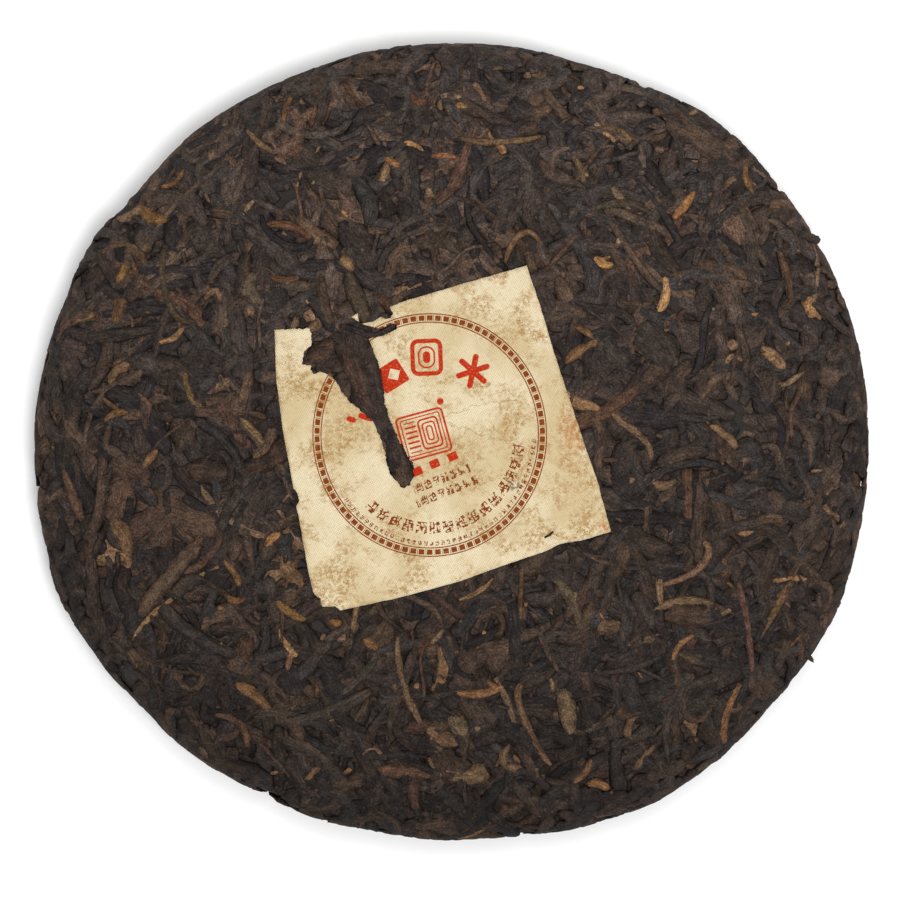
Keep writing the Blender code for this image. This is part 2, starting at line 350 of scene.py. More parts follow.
def make_leaves(name, rng, start, heading, spec, colours):
    """One piece of joined closed leaves that lie pressed on the surface from their starting places."""
    count = len(start)
    rings = spec["rings"]
    share = np.linspace(0.0, 1.0, rings)
    length = np.exp(rng.normal(np.log(spec["length"]), spec["length_spread"], count)) * MM
    length = np.clip(length, spec["shortest"] * MM, spec["longest"] * MM)
    width = np.exp(rng.normal(np.log(spec["width"]), spec["width_spread"], count)) * MM
    thick = spec["thickness"] * MM * rng.uniform(0.8, 1.25, count)
    curled = rng.random(count) < spec["curled_share"]
    turn = np.where(curled, rng.normal(0.0, spec["curl"], count), rng.normal(0.0, spec["bend"], count))
    turn = np.clip(turn, -length / (0.45 * width), length / (0.45 * width))
    sway = waves(rng, count, share, spec["sway"])
    places, ways, normals = creep(start, heading, length, turn, sway, rings)

    # Half width along the leaf: full in the middle, narrowed to a tip or a broken end
    half = np.ones((count, rings))
    for end in (share, 1.0 - share):
        tip = rng.uniform(*spec["tip"], (count, 1))
        reach = rng.uniform(*spec["taper"], (count, 1))
        half *= tip + (1.0 - tip) * np.clip(end[None, :] / reach, 0.0, 1.0) ** 0.75
    half *= (width / 2.0)[:, None]
    left = half * (1.0 + waves(rng, count, share, spec["ragged"], 4))
    right = half * (1.0 + waves(rng, count, share, spec["ragged"], 4))
    limit = 0.06 * MM
    left = np.clip(left, limit, None)
    right = np.clip(right, limit, None)

    # Height of the leaf's top over the smooth surface
    deep = -np.abs(rng.normal(0.0, spec["depth_spread"], (count, 1))) + spec["lift"]
    lean = rng.normal(0.0, spec["lean"], (count, 1)) * (share[None, :] - 0.5)
    dive_start = rng.uniform(0.0, spec["dive"], (count, 1)) * (1.0 - smooth_step(0.0, DIVE_SHARE, share))
    dive_end = rng.uniform(0.0, spec["dive"], (count, 1)) * (1.0 - smooth_step(0.0, DIVE_SHARE, 1.0 - share))
    rise = deep + lean - dive_start - dive_end + waves(rng, count, share, spec["buckle"], 4)
    rise = -np.log1p(np.exp(-rise * CEILING_SHARPNESS)) / CEILING_SHARPNESS * MM

    around = len(SECTION_ACROSS)
    roundness = rng.uniform(*spec["roundness"], (count, 1, 1))
    fold = np.clip(rng.normal(0.0, spec["fold"], (count, 1, 1)), 0.0, None)
    side = np.where(SECTION_ACROSS[None, None, :] < 0.0, left[:, :, None], right[:, :, None])
    across = SECTION_ACROSS[None, None, :] * side
    slender = np.clip(half / (width / 2.0)[:, None], 0.25, 1.0)[:, :, None]
    body = (thick[:, None, None] * (0.45 + 0.55 * slender)) * (
        SECTION_HEIGHT[None, None, :] - roundness * ROUNDING[None, None, :]
    )
    body = body - fold * MM * FOLDING[None, None, :] * slender
    wrinkle = spec["wrinkle"] * MM * rng.normal(0.0, 1.0, (count, rings, around))
    wrinkle[:, :, TOP_POINTS:] = 0.0
    cross = np.cross(normals, ways)
    lateral = places[:, :, None, :] + cross[:, :, None, :] * across[..., None]
    foot, outward, _ = on_surface(lateral)
    verts = foot + outward * (rise[:, :, None] + body + wrinkle)[..., None]
    verts = np.clip(verts, BOX_LOW, BOX_HIGH)

    loops, totals = bundle_faces(count, rings, around)
    obj = make_object(name, verts.reshape(-1, 3), loops, totals)
    # Painted light: leaves that start towards the right and the head of the cake are drawn lighter.
    painted_light = 1.0 + (start[:, :2] - CENTRE) @ np.array(PAINTED_LIGHT_TOWARDS_HEAD) / MEAN_RADIUS
    grain = np.empty((count, rings, around, 3))
    grain[..., 0] = (share[None, :] * length[:, None] / MM)[:, :, None]
    grain[..., 1] = across / MM
    grain[..., 2] = rng.uniform(0.0, 400.0, (count, 1, 1))
    add_vector(obj, "grain", grain.reshape(-1, 3))
    add_colour(obj, "leaf_colour_and_painted_shading", leaf_colours(rng, count, share, spec, colours, painted_light).reshape(-1, 3))
    add_bake_map(obj, bundle_uv(count, rings, around))
    return obj


def srgb(*values):
    """Linear colour from 0-255 screen values."""
    shares = np.array(values) / 255.0
    return np.where(shares <= 0.04045, shares / 12.92, ((shares + 0.055) / 1.055) ** 2.4)


# Leaf colours and how common each is
BLACK = srgb(47, 41, 39)
CHARCOAL = srgb(56, 50, 47)
UMBER = srgb(62, 52, 47)
BROWN = srgb(75, 61, 52)
RUSSET = srgb(80, 60, 50)
TAN = srgb(112, 88, 66)
OCHRE = srgb(134, 102, 72)
GOLD = srgb(160, 120, 80)
PAINTED_LIGHT_TOWARDS_HEAD = (0.05, 0.42)  # painted light: how much lighter the leaves are drawn to the right and towards the head of the cake, the side the light comes from
DARK_LEAVES = ((BLACK, 0.26), (CHARCOAL, 0.30), (UMBER, 0.30), (BROWN, 0.10), (RUSSET, 0.03), (TAN, 0.01))
RIM_LEAVES = ((BLACK, 0.16), (CHARCOAL, 0.24), (UMBER, 0.38), (BROWN, 0.19), (RUSSET, 0.03))
STEM_COLOURS = ((UMBER, 0.40), (BROWN, 0.34), (RUSSET, 0.20), (TAN, 0.06))
BUD_COLOURS = ((BROWN, 0.36), (TAN, 0.42), (OCHRE, 0.20), (GOLD, 0.02))
CRUMB_COLOURS = ((UMBER, 0.46), (BROWN, 0.32), (RUSSET, 0.12), (TAN, 0.07), (OCHRE, 0.03))


def leaf_colours(rng, count, share, spec, colours, painted_light):
    """Colour of each vertex: the leaf's own, with a lighter stretch on some, painted shade at the edges and
    painted light towards the head of the cake.
    """
    palette = np.array([colour for colour, _ in colours])
    odds = np.array([odd for _, odd in colours])
    pick = rng.choice(len(palette), count, p=odds / odds.sum())
    own = palette[pick] * np.exp(rng.normal(0.0, 0.14, (count, 1)))
    warm = np.maximum(rng.normal(0.01, 0.06, (count, 1)), -0.035)
    own = own * (1.0 + warm * np.array([1.0, 0.0, -1.0]))
    streak = palette_mix(rng, count)
    has_streak = rng.random((count, 1, 1)) < spec["streaked_share"]
    middle = rng.uniform(-0.1, 1.1, (count, 1, 1))
    reach = rng.uniform(0.12, 0.45, (count, 1, 1))
    lengthwise = np.exp(-(((share[None, :, None] - middle) / reach) ** 2))
    bias = rng.uniform(-0.9, 0.9, (count, 1, 1))
    crosswise = np.exp(-(((SECTION_ACROSS[None, None, :] - bias) / 0.7) ** 2))
    mix = (lengthwise * crosswise * has_streak * rng.uniform(0.1, 0.55, (count, 1, 1)))[..., None]
    blend = own[:, None, None, :] * (1.0 - mix) + streak[:, None, None, :] * mix
    # The leaf's colour with painted shade across its section and painted light towards the head.
    return blend * SECTION_PAINTED_SHADE[None, None, :, None] * painted_light[:, None, None, None]


def palette_mix(rng, count):
    """Colours of the lighter stretches: tan to ochre."""
    share = rng.random((count, 1))
    return TAN * (1.0 - share) + OCHRE * share


# Kinds of leaves. Lengths, widths and heights are in millimetres, turns in radians.
ROLLED = {
    "rings": 12,
    "length": 8.2,
    "length_spread": 0.36,
    "shortest": 3.2,
    "longest": 16.0,
    "width": 1.75,
    "width_spread": 0.26,
    "thickness": 1.0,
    "bend": 0.8,
    "curl": 2.8,
    "curled_share": 0.30,
    "sway": 0.12,
    "tip": (0.35, 0.9),
    "taper": (0.06, 0.35),
    "ragged": 0.10,
    "depth_spread": 0.42,
    "lift": 0.04,
    "lean": 0.40,
    "dive": 0.45,
    "buckle": 0.09,
    "roundness": (0.08, 0.42),
    "fold": 0.14,
    "wrinkle": 0.022,
    "streaked_share": 0.36,
}
FLAT = ROLLED | {
    "rings": 10,
    "length": 6.6,
    "width": 2.9,
    "width_spread": 0.24,
    "thickness": 0.75,
    "bend": 0.5,
    "curled_share": 0.10,
    "sway": 0.08,
    "tip": (0.25, 0.80),
    "taper": (0.12, 0.45),
    "ragged": 0.16,
    "depth_spread": 0.34,
    "lift": -0.04,
    "lean": 0.34,
    "buckle": 0.10,
    "roundness": (0.0, 0.14),
    "fold": 0.20,
    "wrinkle": 0.032,
    "streaked_share": 0.30,
}
BED = FLAT | {
    "rings": 7,
    "length": 7.5,
    "width": 3.4,
    "depth_spread": 0.15,
    "lift": -0.50,
    "streaked_share": 0.1,
}
STEM = ROLLED | {
    "length": 8.0,
    "longest": 15.0,
    "width": 0.72,
    "width_spread": 0.22,
    "thickness": 0.62,
    "bend": 0.28,
    "curled_share": 0.10,
    "tip": (0.55, 1.0),
    "taper": (0.03, 0.12),
    "ragged": 0.05,
    "depth_spread": 0.14,
    "lift": 0.02,
    "lean": 0.2,
    "dive": 0.20,
    "roundness": (0.2, 0.4),
    "fold": 0.02,
    "streaked_share": 0.20,
}
BUD = ROLLED | {
    "length": 4.2,
    "shortest": 1.8,
    "longest": 8.0,
    "width": 1.25,
    "width_spread": 0.25,
    "thickness": 0.6,
    "bend": 0.50,
    "curl": 1.8,
    "curled_share": 0.30,
    "tip": (0.15, 0.7),
    "taper": (0.15, 0.5),
    "depth_spread": 0.12,
    "lift": 0.0,
    "dive": 0.25,
    "roundness": (0.1, 0.3),
    "streaked_share": 0.45,
}
CRUMB = ROLLED | {
    "rings": 4,
    "length": 0.95,
    "length_spread": 0.40,
    "shortest": 0.35,
    "longest": 2.2,
    "width": 0.60,
    "width_spread": 0.30,
    "thickness": 0.35,
    "bend": 0.30,
    "curled_share": 0.0,
    "tip": (0.55, 1.0),
    "taper": (0.1, 0.4),
    "depth_spread": 0.14,
    "lift": -0.02,
    "lean": 0.06,
    "dive": 0.05,
    "buckle": 0.01,
    "roundness": (0.1, 0.4),
    "fold": 0.0,
    "streaked_share": 0.10,
}
RIM = ROLLED | {
    "length": 6.4,
    "width": 2.1,
    "thickness": 0.50,
    "depth_spread": 0.13,
    "lean": 0.12,
    "dive": 0.20,
    "buckle": 0.035,
    "roundness": (0.0, 0.15),
    "streaked_share": 0.26,
}
UNDERSIDE = RIM | {"rings": 8, "width": 2.3}


def scattered(rng, count, low, high):
    """Evenly spread starting places with a run along the section between two limits."""
    # Points are spread by area: the girth of the cake at each run weighs the draw.
    girth = np.where((SECTION.run >= low) & (SECTION.run <= high), SECTION.points[:, 0] + 0.0002, 0.0)
    total = np.cumsum(girth)
    golden = (math.sqrt(5.0) - 1.0) / 2.0
    order = (np.arange(count) + rng.uniform(0.1, 0.9, count)) / count
    run = np.interp(order * total[-1], total, SECTION.run)
    bearing = (np.arange(count) * golden + rng.uniform(-0.006, 0.006, count)) % 1.0 * 2.0 * math.pi
    return place_at(bearing, run)


def headings(rng, start, spread):
    """Directions of the leaves: gathered into loose bundles that lie the same way."""
    bearing = np.arctan2(start[:, 1] - CENTRE[1], start[:, 0] - CENTRE[0])
    field = np.zeros(len(start))
    for _ in range(5):
        wave = rng.normal(0.0, 1.0 / (11.0 * MM), 2)
        field += rng.normal(0.0, 1.3) * np.sin(start[:, :2] @ wave + rng.uniform(0.0, 6.28))
    return field - bearing - math.pi / 2.0 + rng.normal(0.0, spread, len(start))


# Runs along the section that part the top, the rim and the underside
TOP_END = SECTION.rim_run - 4.0 * MM
RIM_END = SECTION.rim_run + 8.5 * MM

KINDS = (
    # name, seed, count, first run, last run, spread of headings, kind, colours
    ("rolled_leaves", 11, 1060, 0.0, TOP_END, 0.6, ROLLED, DARK_LEAVES),
    ("flat_leaves", 12, 760, 0.0, TOP_END, 0.8, FLAT, DARK_LEAVES),
    ("bed_leaves", 21, 1000, 0.0, RIM_END, 1.0, BED, DARK_LEAVES),
    ("stems", 13, 90, 0.0, TOP_END, 0.9, STEM, STEM_COLOURS),
    ("buds", 14, 90, 0.0, TOP_END, 1.2, BUD, BUD_COLOURS),
    ("crumbs", 15, 700, 0.0, TOP_END, 1.5, CRUMB, CRUMB_COLOURS),
    ("rim_leaves", 16, 900, TOP_END - 2.0 * MM, RIM_END, 0.7, RIM, RIM_LEAVES),
    ("underside_leaves", 17, 1000, RIM_END - 2.0 * MM, SECTION.length, 0.7, UNDERSIDE, DARK_LEAVES),
)


def make_leaf_pieces():
    pieces = []
    for name, seed, count, low, high, spread, spec, colours in KINDS:
        rng = np.random.default_rng(seed)
        start = scattered(rng, count, low, high)
        hidden = under_paper(start)
        start = start[~hidden]
        pieces.append(make_leaves(name, rng, start, headings(rng, start, spread), spec, colours))
    return pieces


# ---------------------------------------------------------------- leaves laid one by one

# Each is (points in mm from the outline's centre, greatest half width in mm, rise in mm, end shapes, colour).
# Rise is the height of the leaf's top over the smooth surface at its start and its end.
TEAR_DARK = srgb(60, 49, 44)
TEAR_BROWN = srgb(72, 54, 45)
LAID_LEAVES = (
    # the broad leaf that fills the tear, with the narrow tail in the tear's foot
    (
        ((-13.6, 15.0), (-12.4, 11.0), (-11.2, 7.0), (-9.6, 3.6), (-8.2, 0.6)),
        2.6,
        (0.02, 0.16), (0.9, 0.55), TEAR_DARK,
    ),
    (((-13.9, 12.6), (-12.6, 9.0), (-11.6, 6.4), (-10.3, 4.2)), 1.3, (0.16, 0.14), (0.5, 0.3), TEAR_BROWN),
    (((-10.6, 12.2), (-10.4, 8.6), (-9.5, 4.6), (-8.3, 1.0)), 1.35, (0.20, 0.18), (0.7, 0.5), TEAR_DARK),
    (
        ((-9.6, 4.6), (-8.3, 1.4), (-7.2, -1.6), (-6.1, -4.4), (-6.3, -5.4)),
        1.25,
        (0.10, 0.20), (0.8, 0.7), TEAR_DARK,
    ),
    (((-7.4, -2.8), (-6.6, -4.2), (-6.3, -5.5)), 1.0, (0.20, 0.22), (0.4, 0.5), srgb(86, 66, 54)),
    (
        ((-8.8, 2.4), (-8.1, 0.2), (-7.9, -2.6), (-7.1, -3.8)),
        0.75,
        (0.16, 0.20), (0.3, 0.2), srgb(44, 38, 36),
    ),
    # the lobed brown leaf at the tear's left edge
    (((-15.2, 11.6), (-16.6, 11.4), (-18.4, 10.4)), 1.7, (0.20, 0.22), (0.9, 0.35), srgb(70, 53, 43)),
    (((-14.8, 11.0), (-16.2, 9.9), (-16.7, 8.6)), 1.3, (0.20, 0.20), (0.9, 0.4), srgb(58, 47, 42)),
    # the dark branch out over the ring, and the leaves pressing down at the tear's head
    (
        ((-14.6, 14.9), (-11.6, 13.9), (-9.8, 13.6), (-7.4, 14.9)),
        0.55,
        (0.18, 0.22), (0.9, 0.8), srgb(52, 44, 41),
    ),
    (((-16.6, 21.6), (-16.6, 18.4), (-15.4, 14.6)), 0.85, (0.0, 0.24), (0.6, 0.7), srgb(74, 60, 48)),
    (
        ((-13.6, 21.8), (-12.6, 19.0), (-11.6, 16.6), (-10.9, 15.5)),
        1.15,
        (0.0, 0.16), (0.5, 0.5), srgb(72, 60, 48),
    ),
    (
        ((-12.8, 22.4), (-10.2, 20.4), (-7.0, 20.6), (-4.6, 20.9)),
        0.75,
        (-0.05, 0.0), (0.7, 0.6), srgb(58, 51, 48),
    ),
    (((-10.2, 18.8), (-8.6, 17.6), (-7.9, 16.6)), 0.8, (0.0, 0.14), (0.6, 0.7), srgb(74, 54, 42)),
    (((-18.6, 18.6), (-16.8, 16.6), (-15.4, 14.0)), 1.0, (-0.02, 0.16), (0.7, 0.6), srgb(52, 45, 43)),
    # a leaf's corner and a bit of stem that stand out of the rim
    (((43.4, 27.0), (45.4, 26.3), (46.6, 26.0)), 0.75, (0.1, 0.55), (0.9, 0.15), srgb(66, 55, 48)),
    (((44.9, -27.0), (45.7, -27.7), (46.4, -28.4)), 0.32, (0.3, 0.75), (0.8, 0.6), srgb(64, 50, 42)),
)
# Leaves that catch the eye on the top: (points in mm from the outline's centre, width in mm, colour).
NOTABLE_LEAVES = (
    # towards the head, right of the middle
    (((27.7, 28.5), (29.0, 30.0), (30.4, 31.9)), 1.3, (152, 108, 68)),
    (((17.5, 23.6), (18.7, 22.6), (19.9, 22.7)), 1.4, (160, 118, 74)),
    (((6.4, 22.8), (7.4, 25.2), (8.6, 26.8), (9.9, 26.3), (10.9, 25.0)), 0.95, (114, 86, 62)),
    (((10.9, 21.3), (13.4, 24.0), (15.8, 26.8)), 0.9, (86, 64, 53)),
    (((13.9, 10.2), (16.0, 11.8), (18.0, 12.9)), 1.5, (122, 90, 60)),
    (((15.2, 14.6), (16.3, 14.2), (17.5, 13.1)), 0.95, (108, 80, 54)),
    (((38.6, 11.9), (40.4, 11.0), (41.8, 9.3)), 1.7, (136, 104, 76)),
    (((41.2, 24.5), (42.2, 21.3), (42.7, 17.5)), 1.3, (84, 63, 49)),
    (((23.0, 33.4), (25.5, 30.2), (27.2, 27.7), (28.7, 24.9)), 1.35, (53, 48, 45)),
    (((27.4, 40.4), (28.7, 37.2), (28.5, 33.4)), 1.2, (64, 54, 47)),
    (((0.8, 38.5), (5.8, 38.1), (10.9, 38.9)), 1.05, (108, 84, 60)),
    (((2.3, 45.8), (3.0, 45.0), (3.9, 43.4)), 1.1, (128, 96, 78)),
    (((18.2, 39.6), (20.6, 39.7), (22.3, 38.1)), 1.3, (116, 90, 60)),
    (((15.0, 36.3), (15.9, 34.8), (16.3, 33.0)), 1.1, (108, 86, 60)),
    (((22.8, 14.8), (25.2, 12.6), (27.0, 9.6)), 5.2, (60, 52, 46)),
    (((27.6, 4.0), (29.8, 3.2), (33.6, 3.3)), 1.2, (54, 48, 45)),
    (((36.2, 30.6), (37.4, 26.6), (39.6, 22.6)), 1.5, (74, 62, 50)),
    (((37.4, 35.6), (37.0, 34.0), (38.0, 31.8)), 1.2, (112, 80, 50)),
    (((29.0, 8.2), (31.0, 10.6), (31.4, 14.6), (33.0, 18.0)), 1.2, (50, 45, 43)),
    (((17.6, 29.6), (21.6, 30.4), (25.0, 28.8)), 1.4, (70, 60, 50)),
    # towards the foot, right of the middle
    (((23.6, -5.3), (26.8, -3.2), (31.3, -2.5), (35.7, -4.4)), 1.2, (52, 48, 46)),
    (((26.2, -17.8), (30.0, -16.3), (32.0, -14.2), (31.4, -12.4)), 1.25, (112, 84, 66)),
    (((24.9, -21.4), (28.7, -19.9), (32.7, -20.4)), 1.3, (106, 84, 62)),
    (((27.7, -27.6), (28.2, -25.7), (30.2, -24.3)), 1.0, (124, 90, 62)),
    (((35.7, -17.2), (37.0, -22.5), (37.9, -30.1)), 1.25, (86, 62, 53)),
    (((8.5, -14.6), (8.3, -18.6), (8.3, -22.4)), 0.8, (88, 66, 48)),
    (((0.0, -31.4), (3.2, -31.6), (6.1, -30.7)), 1.2, (122, 87, 60)),
    (((9.0, -30.1), (8.1, -32.7), (9.7, -37.1), (12.2, -40.9)), 1.2, (98, 74, 55)),
    (((13.6, -31.0), (14.2, -33.8), (14.8, -36.8)), 2.4, (98, 79, 60)),
    (((36.4, -30.6), (34.4, -34.8), (34.6, -38.4)), 1.5, (114, 80, 54)),
    (((16.9, -43.4), (18.2, -43.3), (19.6, -44.1)), 1.5, (116, 82, 54)),
    (((17.3, -40.1), (16.4, -42.0), (14.9, -43.1)), 1.0, (108, 77, 54)),
    (((18.6, -28.9), (22.4, -28.4), (26.2, -26.9)), 1.1, (57, 50, 46)),
    (((29.4, -31.0), (27.0, -35.0), (27.2, -40.6)), 1.2, (58, 52, 46)),
    (((10.4, -23.0), (11.6, -26.0), (13.2, -29.0)), 1.0, (74, 60, 52)),
    (((43.9, -14.8), (41.8, -19.0), (38.8, -24.6)), 1.2, (96, 73, 50)),
    (((12.4, -17.0), (14.6, -19.6), (15.6, -23.2)), 1.6, (84, 71, 56)),
    # towards the head, left of the middle
    (((-26.6, 40.1), (-25.0, 38.3), (-23.1, 37.0)), 1.05, (116, 90, 66)),
    (((-34.4, 35.4), (-35.6, 33.3), (-37.6, 32.9)), 1.0, (118, 86, 56)),
    (((-40.0, 30.3), (-38.6, 28.8), (-36.6, 28.6)), 1.9, (108, 79, 50)),
    (((-45.6, 23.3), (-43.1, 25.2), (-40.5, 24.5), (-39.3, 22.4)), 1.4, (90, 70, 54)),
    (((-41.6, 22.8), (-42.3, 21.6), (-42.8, 20.4)), 1.3, (120, 86, 52)),
    (((-42.2, 18.4), (-42.6, 17.0), (-43.0, 15.2)), 2.5, (94, 69, 48)),
    (((-36.7, 25.2), (-37.0, 21.3), (-35.8, 16.9), (-32.9, 15.4)), 1.2, (72, 60, 47)),
    (((-31.6, 18.2), (-30.2, 19.3), (-29.6, 17.8)), 1.0, (112, 84, 65)),
    (((-34.2, 9.3), (-33.6, 6.6), (-32.6, 4.7)), 1.2, (108, 84, 56)),
    (((-27.2, 3.2), (-25.3, 1.4), (-24.0, -0.2)), 1.2, (110, 87, 62)),
    (((-25.2, 21.5), (-26.2, 19.6), (-24.2, 17.7)), 2.4, (88, 75, 60)),
    (((-23.4, 21.3), (-21.6, 20.6), (-19.6, 21.1)), 1.4, (96, 67, 48)),
    (((-14.4, 23.4), (-13.8, 22.9), (-12.8, 21.8)), 1.6, (122, 94, 65)),
    (((-6.6, 37.9), (-5.2, 37.8), (-4.0, 36.9)), 0.8, (164, 122, 78)),
    (((-3.0, 36.2), (-1.4, 36.4), (0.2, 36.1)), 0.9, (132, 90, 62)),
    (((-8.9, 36.2), (-7.9, 35.4), (-6.9, 35.2)), 1.3, (124, 87, 57)),
    (((-5.7, 44.4), (-4.8, 43.5), (-3.5, 43.3)), 1.3, (98, 68, 51)),
    (((0.1, 42.6), (0.8, 42.8), (1.5, 42.4)), 1.1, (132, 104, 62)),
    (((-24.4, 29.0), (-22.7, 25.8), (-19.6, 24.7), (-17.8, 26.2)), 1.3, (45, 41, 40)),
    (((-5.3, 36.0), (-5.0, 32.4), (-5.2, 28.3)), 1.6, (53, 49, 46)),
    (((-20.7, 44.3), (-21.5, 42.8), (-21.7, 41.0)), 0.9, (108, 76, 50)),
    (((-45.0, 6.1), (-43.6, 4.9), (-42.2, 3.9)), 0.7, (98, 72, 54)),
    (((-44.4, 2.8), (-43.0, 3.8), (-41.4, 3.9)), 1.1, (108, 79, 53)),
    (((-24.0, 27.6), (-20.6, 27.4), (-18.4, 25.9)), 1.2, (100, 70, 52)),
    (((-49.5, 14.6), (-45.0, 13.6), (-37.6, 14.6)), 2.0, (58, 50, 45)),
    (((-9.4, 21.6), (-8.2, 24.6), (-4.4, 27.0)), 1.3, (60, 52, 47)),
    (((-13.6, 34.0), (-11.0, 31.0), (-10.8, 27.6)), 2.4, (58, 54, 50)),
    # towards the foot, left of the middle
    (((-49.8, -3.2), (-48.6, -6.6), (-47.4, -9.9)), 1.6, (90, 68, 52)),
    (((-43.6, -9.8), (-42.0, -11.6), (-41.3, -14.4)), 2.3, (106, 80, 58)),
    (((-32.2, -12.2), (-35.5, -16.1), (-38.6, -19.9), (-39.7, -22.0)), 2.2, (84, 67, 54)),
    (((-31.6, -11.5), (-34.2, -14.2), (-36.9, -16.5)), 1.3, (76, 58, 47)),
    (((-23.9, -13.1), (-23.1, -12.0), (-22.0, -11.4)), 1.3, (146, 104, 64)),
    (((-29.1, -14.8), (-27.7, -16.6), (-27.2, -18.1)), 1.0, (114, 83, 55)),
    (((-28.8, -19.1), (-27.8, -19.9), (-26.4, -19.6)), 1.0, (104, 74, 49)),
    (((-22.8, -19.6), (-20.8, -21.3), (-18.8, -22.2)), 1.3, (120, 89, 54)),
    (((-15.6, -22.2), (-15.0, -22.6), (-14.3, -22.5)), 1.2, (124, 88, 52)),
    (((-7.2, -24.4), (-6.9, -28.8), (-5.6, -32.7), (-4.2, -35.6)), 1.15, (102, 81, 60)),
    (((-20.2, -26.2), (-20.9, -27.4), (-21.1, -28.7)), 1.0, (114, 83, 64)),
    (((-27.8, -30.7), (-25.5, -31.7), (-23.4, -33.8)), 1.7, (110, 80, 52)),
    (((-31.0, -34.5), (-27.4, -35.4), (-26.4, -38.6)), 1.4, (82, 59, 46)),
    (((-3.1, -25.1), (-2.2, -24.5), (-1.4, -23.4)), 0.95, (114, 93, 70)),
    (((-9.8, -41.5), (-6.4, -41.6), (-3.0, -42.3)), 1.8, (88, 64, 51)),
    (((0.0, -34.4), (0.4, -35.6), (1.5, -36.7)), 2.5, (96, 79, 60)),
    (((-37.6, -19.6), (-33.4, -24.0), (-27.6, -27.0)), 2.3, (55, 48, 44)),
    (((-22.9, -35.4), (-16.4, -34.2), (-10.6, -31.2)), 2.0, (61, 53, 47)),
    (((-26.9, -5.8), (-28.4, -8.2), (-29.6, -11.3)), 1.8, (62, 54, 47)),
    (((-14.6, -31.8), (-11.4, -29.0), (-9.8, -26.0)), 1.3, (66, 58, 50)),
)
NOTABLE_RISE = (0.04, 0.07)
NOTABLE_ENDS = (0.55, 0.50)
LAID_RINGS = 18


def make_laid_leaves():
    """Leaves along given lines: the ones that stand through the torn paper and beside it, and those that
    catch the eye on the top.
    """
    rng = np.random.default_rng(41)
    share = np.linspace(0.0, 1.0, LAID_RINGS)
    places, halves, rises, colours = [], [], [], []
    notable = tuple(
        (points, width / 2.0, NOTABLE_RISE, NOTABLE_ENDS, srgb(*colour))
        for points, width, colour in NOTABLE_LEAVES
    )
    for points, half, rise, ends, colour in LAID_LEAVES + notable:
        knots = np.array(points) * MM
        spots = np.linspace(0.0, 1.0, len(knots))
        degree = min(3, len(knots) - 1)
        line = np.stack([np.polyval(np.polyfit(spots, knots[:, axis], degree), share) for axis in (0, 1)], -1)
        places.append(line + CENTRE)
        fade = (ends[0] + (1 - ends[0]) * np.clip(share / 0.3, 0, 1) ** 0.7) * (
            ends[1] + (1 - ends[1]) * np.clip((1 - share) / 0.35, 0, 1) ** 0.7
        )
        halves.append(half * fade * MM)
        rises.append((rise[0] + (rise[1] - rise[0]) * share) * MM)
        colours.append(colour)
    count = len(places)
    places, halves, rises = np.array(places), np.array(halves), np.array(rises)
    offset = places - CENTRE
    reach = outline_radius(np.arctan2(offset[..., 1], offset[..., 0]))
    level = dome_height(np.linalg.norm(offset, axis=-1) / reach)[..., None]
    foot, normals, _ = on_surface(np.concatenate([places, level], -1))
    ways = np.gradient(foot, axis=1)
    ways /= np.linalg.norm(ways, axis=-1, keepdims=True)
    left = halves * (1.0 + waves(rng, count, share, 0.09, 6))
    right = halves * (1.0 + waves(rng, count, share, 0.09, 6))
    around = len(SECTION_ACROSS)
    across = np.where(SECTION_ACROSS < 0.0, left[..., None], right[..., None]) * SECTION_ACROSS
    thick = 0.66 * MM
    rounding = np.where(halves < 0.8 * MM, 0.22, 0.08)[..., None]
    body = thick * (SECTION_HEIGHT - rounding * ROUNDING) + 0.0 * across
    body[..., :TOP_POINTS] += rng.normal(0.0, 0.024 * MM, (count, LAID_RINGS, TOP_POINTS))
    body[..., 2] -= np.clip(rng.normal(0.0, 0.10 * MM, (count, 1)), 0.0, None)
    cross = np.cross(normals, ways)
    base, outward, _ = on_surface(foot[:, :, None, :] + cross[:, :, None, :] * across[..., None])
    dip = 0.25 * MM * (1.0 - smooth_step(0.0, 0.12, share) * smooth_step(0.0, 0.10, 1.0 - share))
    verts = base + outward * ((rises - dip)[..., None] + body)[..., None]
    verts = np.clip(verts, BOX_LOW, BOX_HIGH)
    loops, totals = bundle_faces(count, LAID_RINGS, around)
    obj = make_object("laid_leaves", verts.reshape(-1, 3), loops, totals)
    length = np.linalg.norm(np.diff(foot, axis=1), axis=-1).sum(1)
    grain = np.empty((count, LAID_RINGS, around, 3))
    grain[..., 0] = (share[None, :] * length[:, None] / MM)[:, :, None]
    grain[..., 1] = across / MM
    grain[..., 2] = rng.uniform(0.0, 400.0, (count, 1, 1))
    add_vector(obj, "grain", grain.reshape(-1, 3))
    tint = np.array(colours)[:, None, None, :] * np.ones((1, LAID_RINGS, around, 1))
    # Painted shade: each laid leaf is drawn darker towards its edges and underside.
    add_colour(obj, "leaf_colour_and_painted_shading", (tint * SECTION_PAINTED_SHADE[None, None, :, None]).reshape(-1, 3))
    add_bake_map(obj, bundle_uv(count, LAID_RINGS, around))
    return obj


# ---------------------------------------------------------------- core under the leaves

CORE_DEPTH = 0.85 * MM
CORE_STEPS = 220


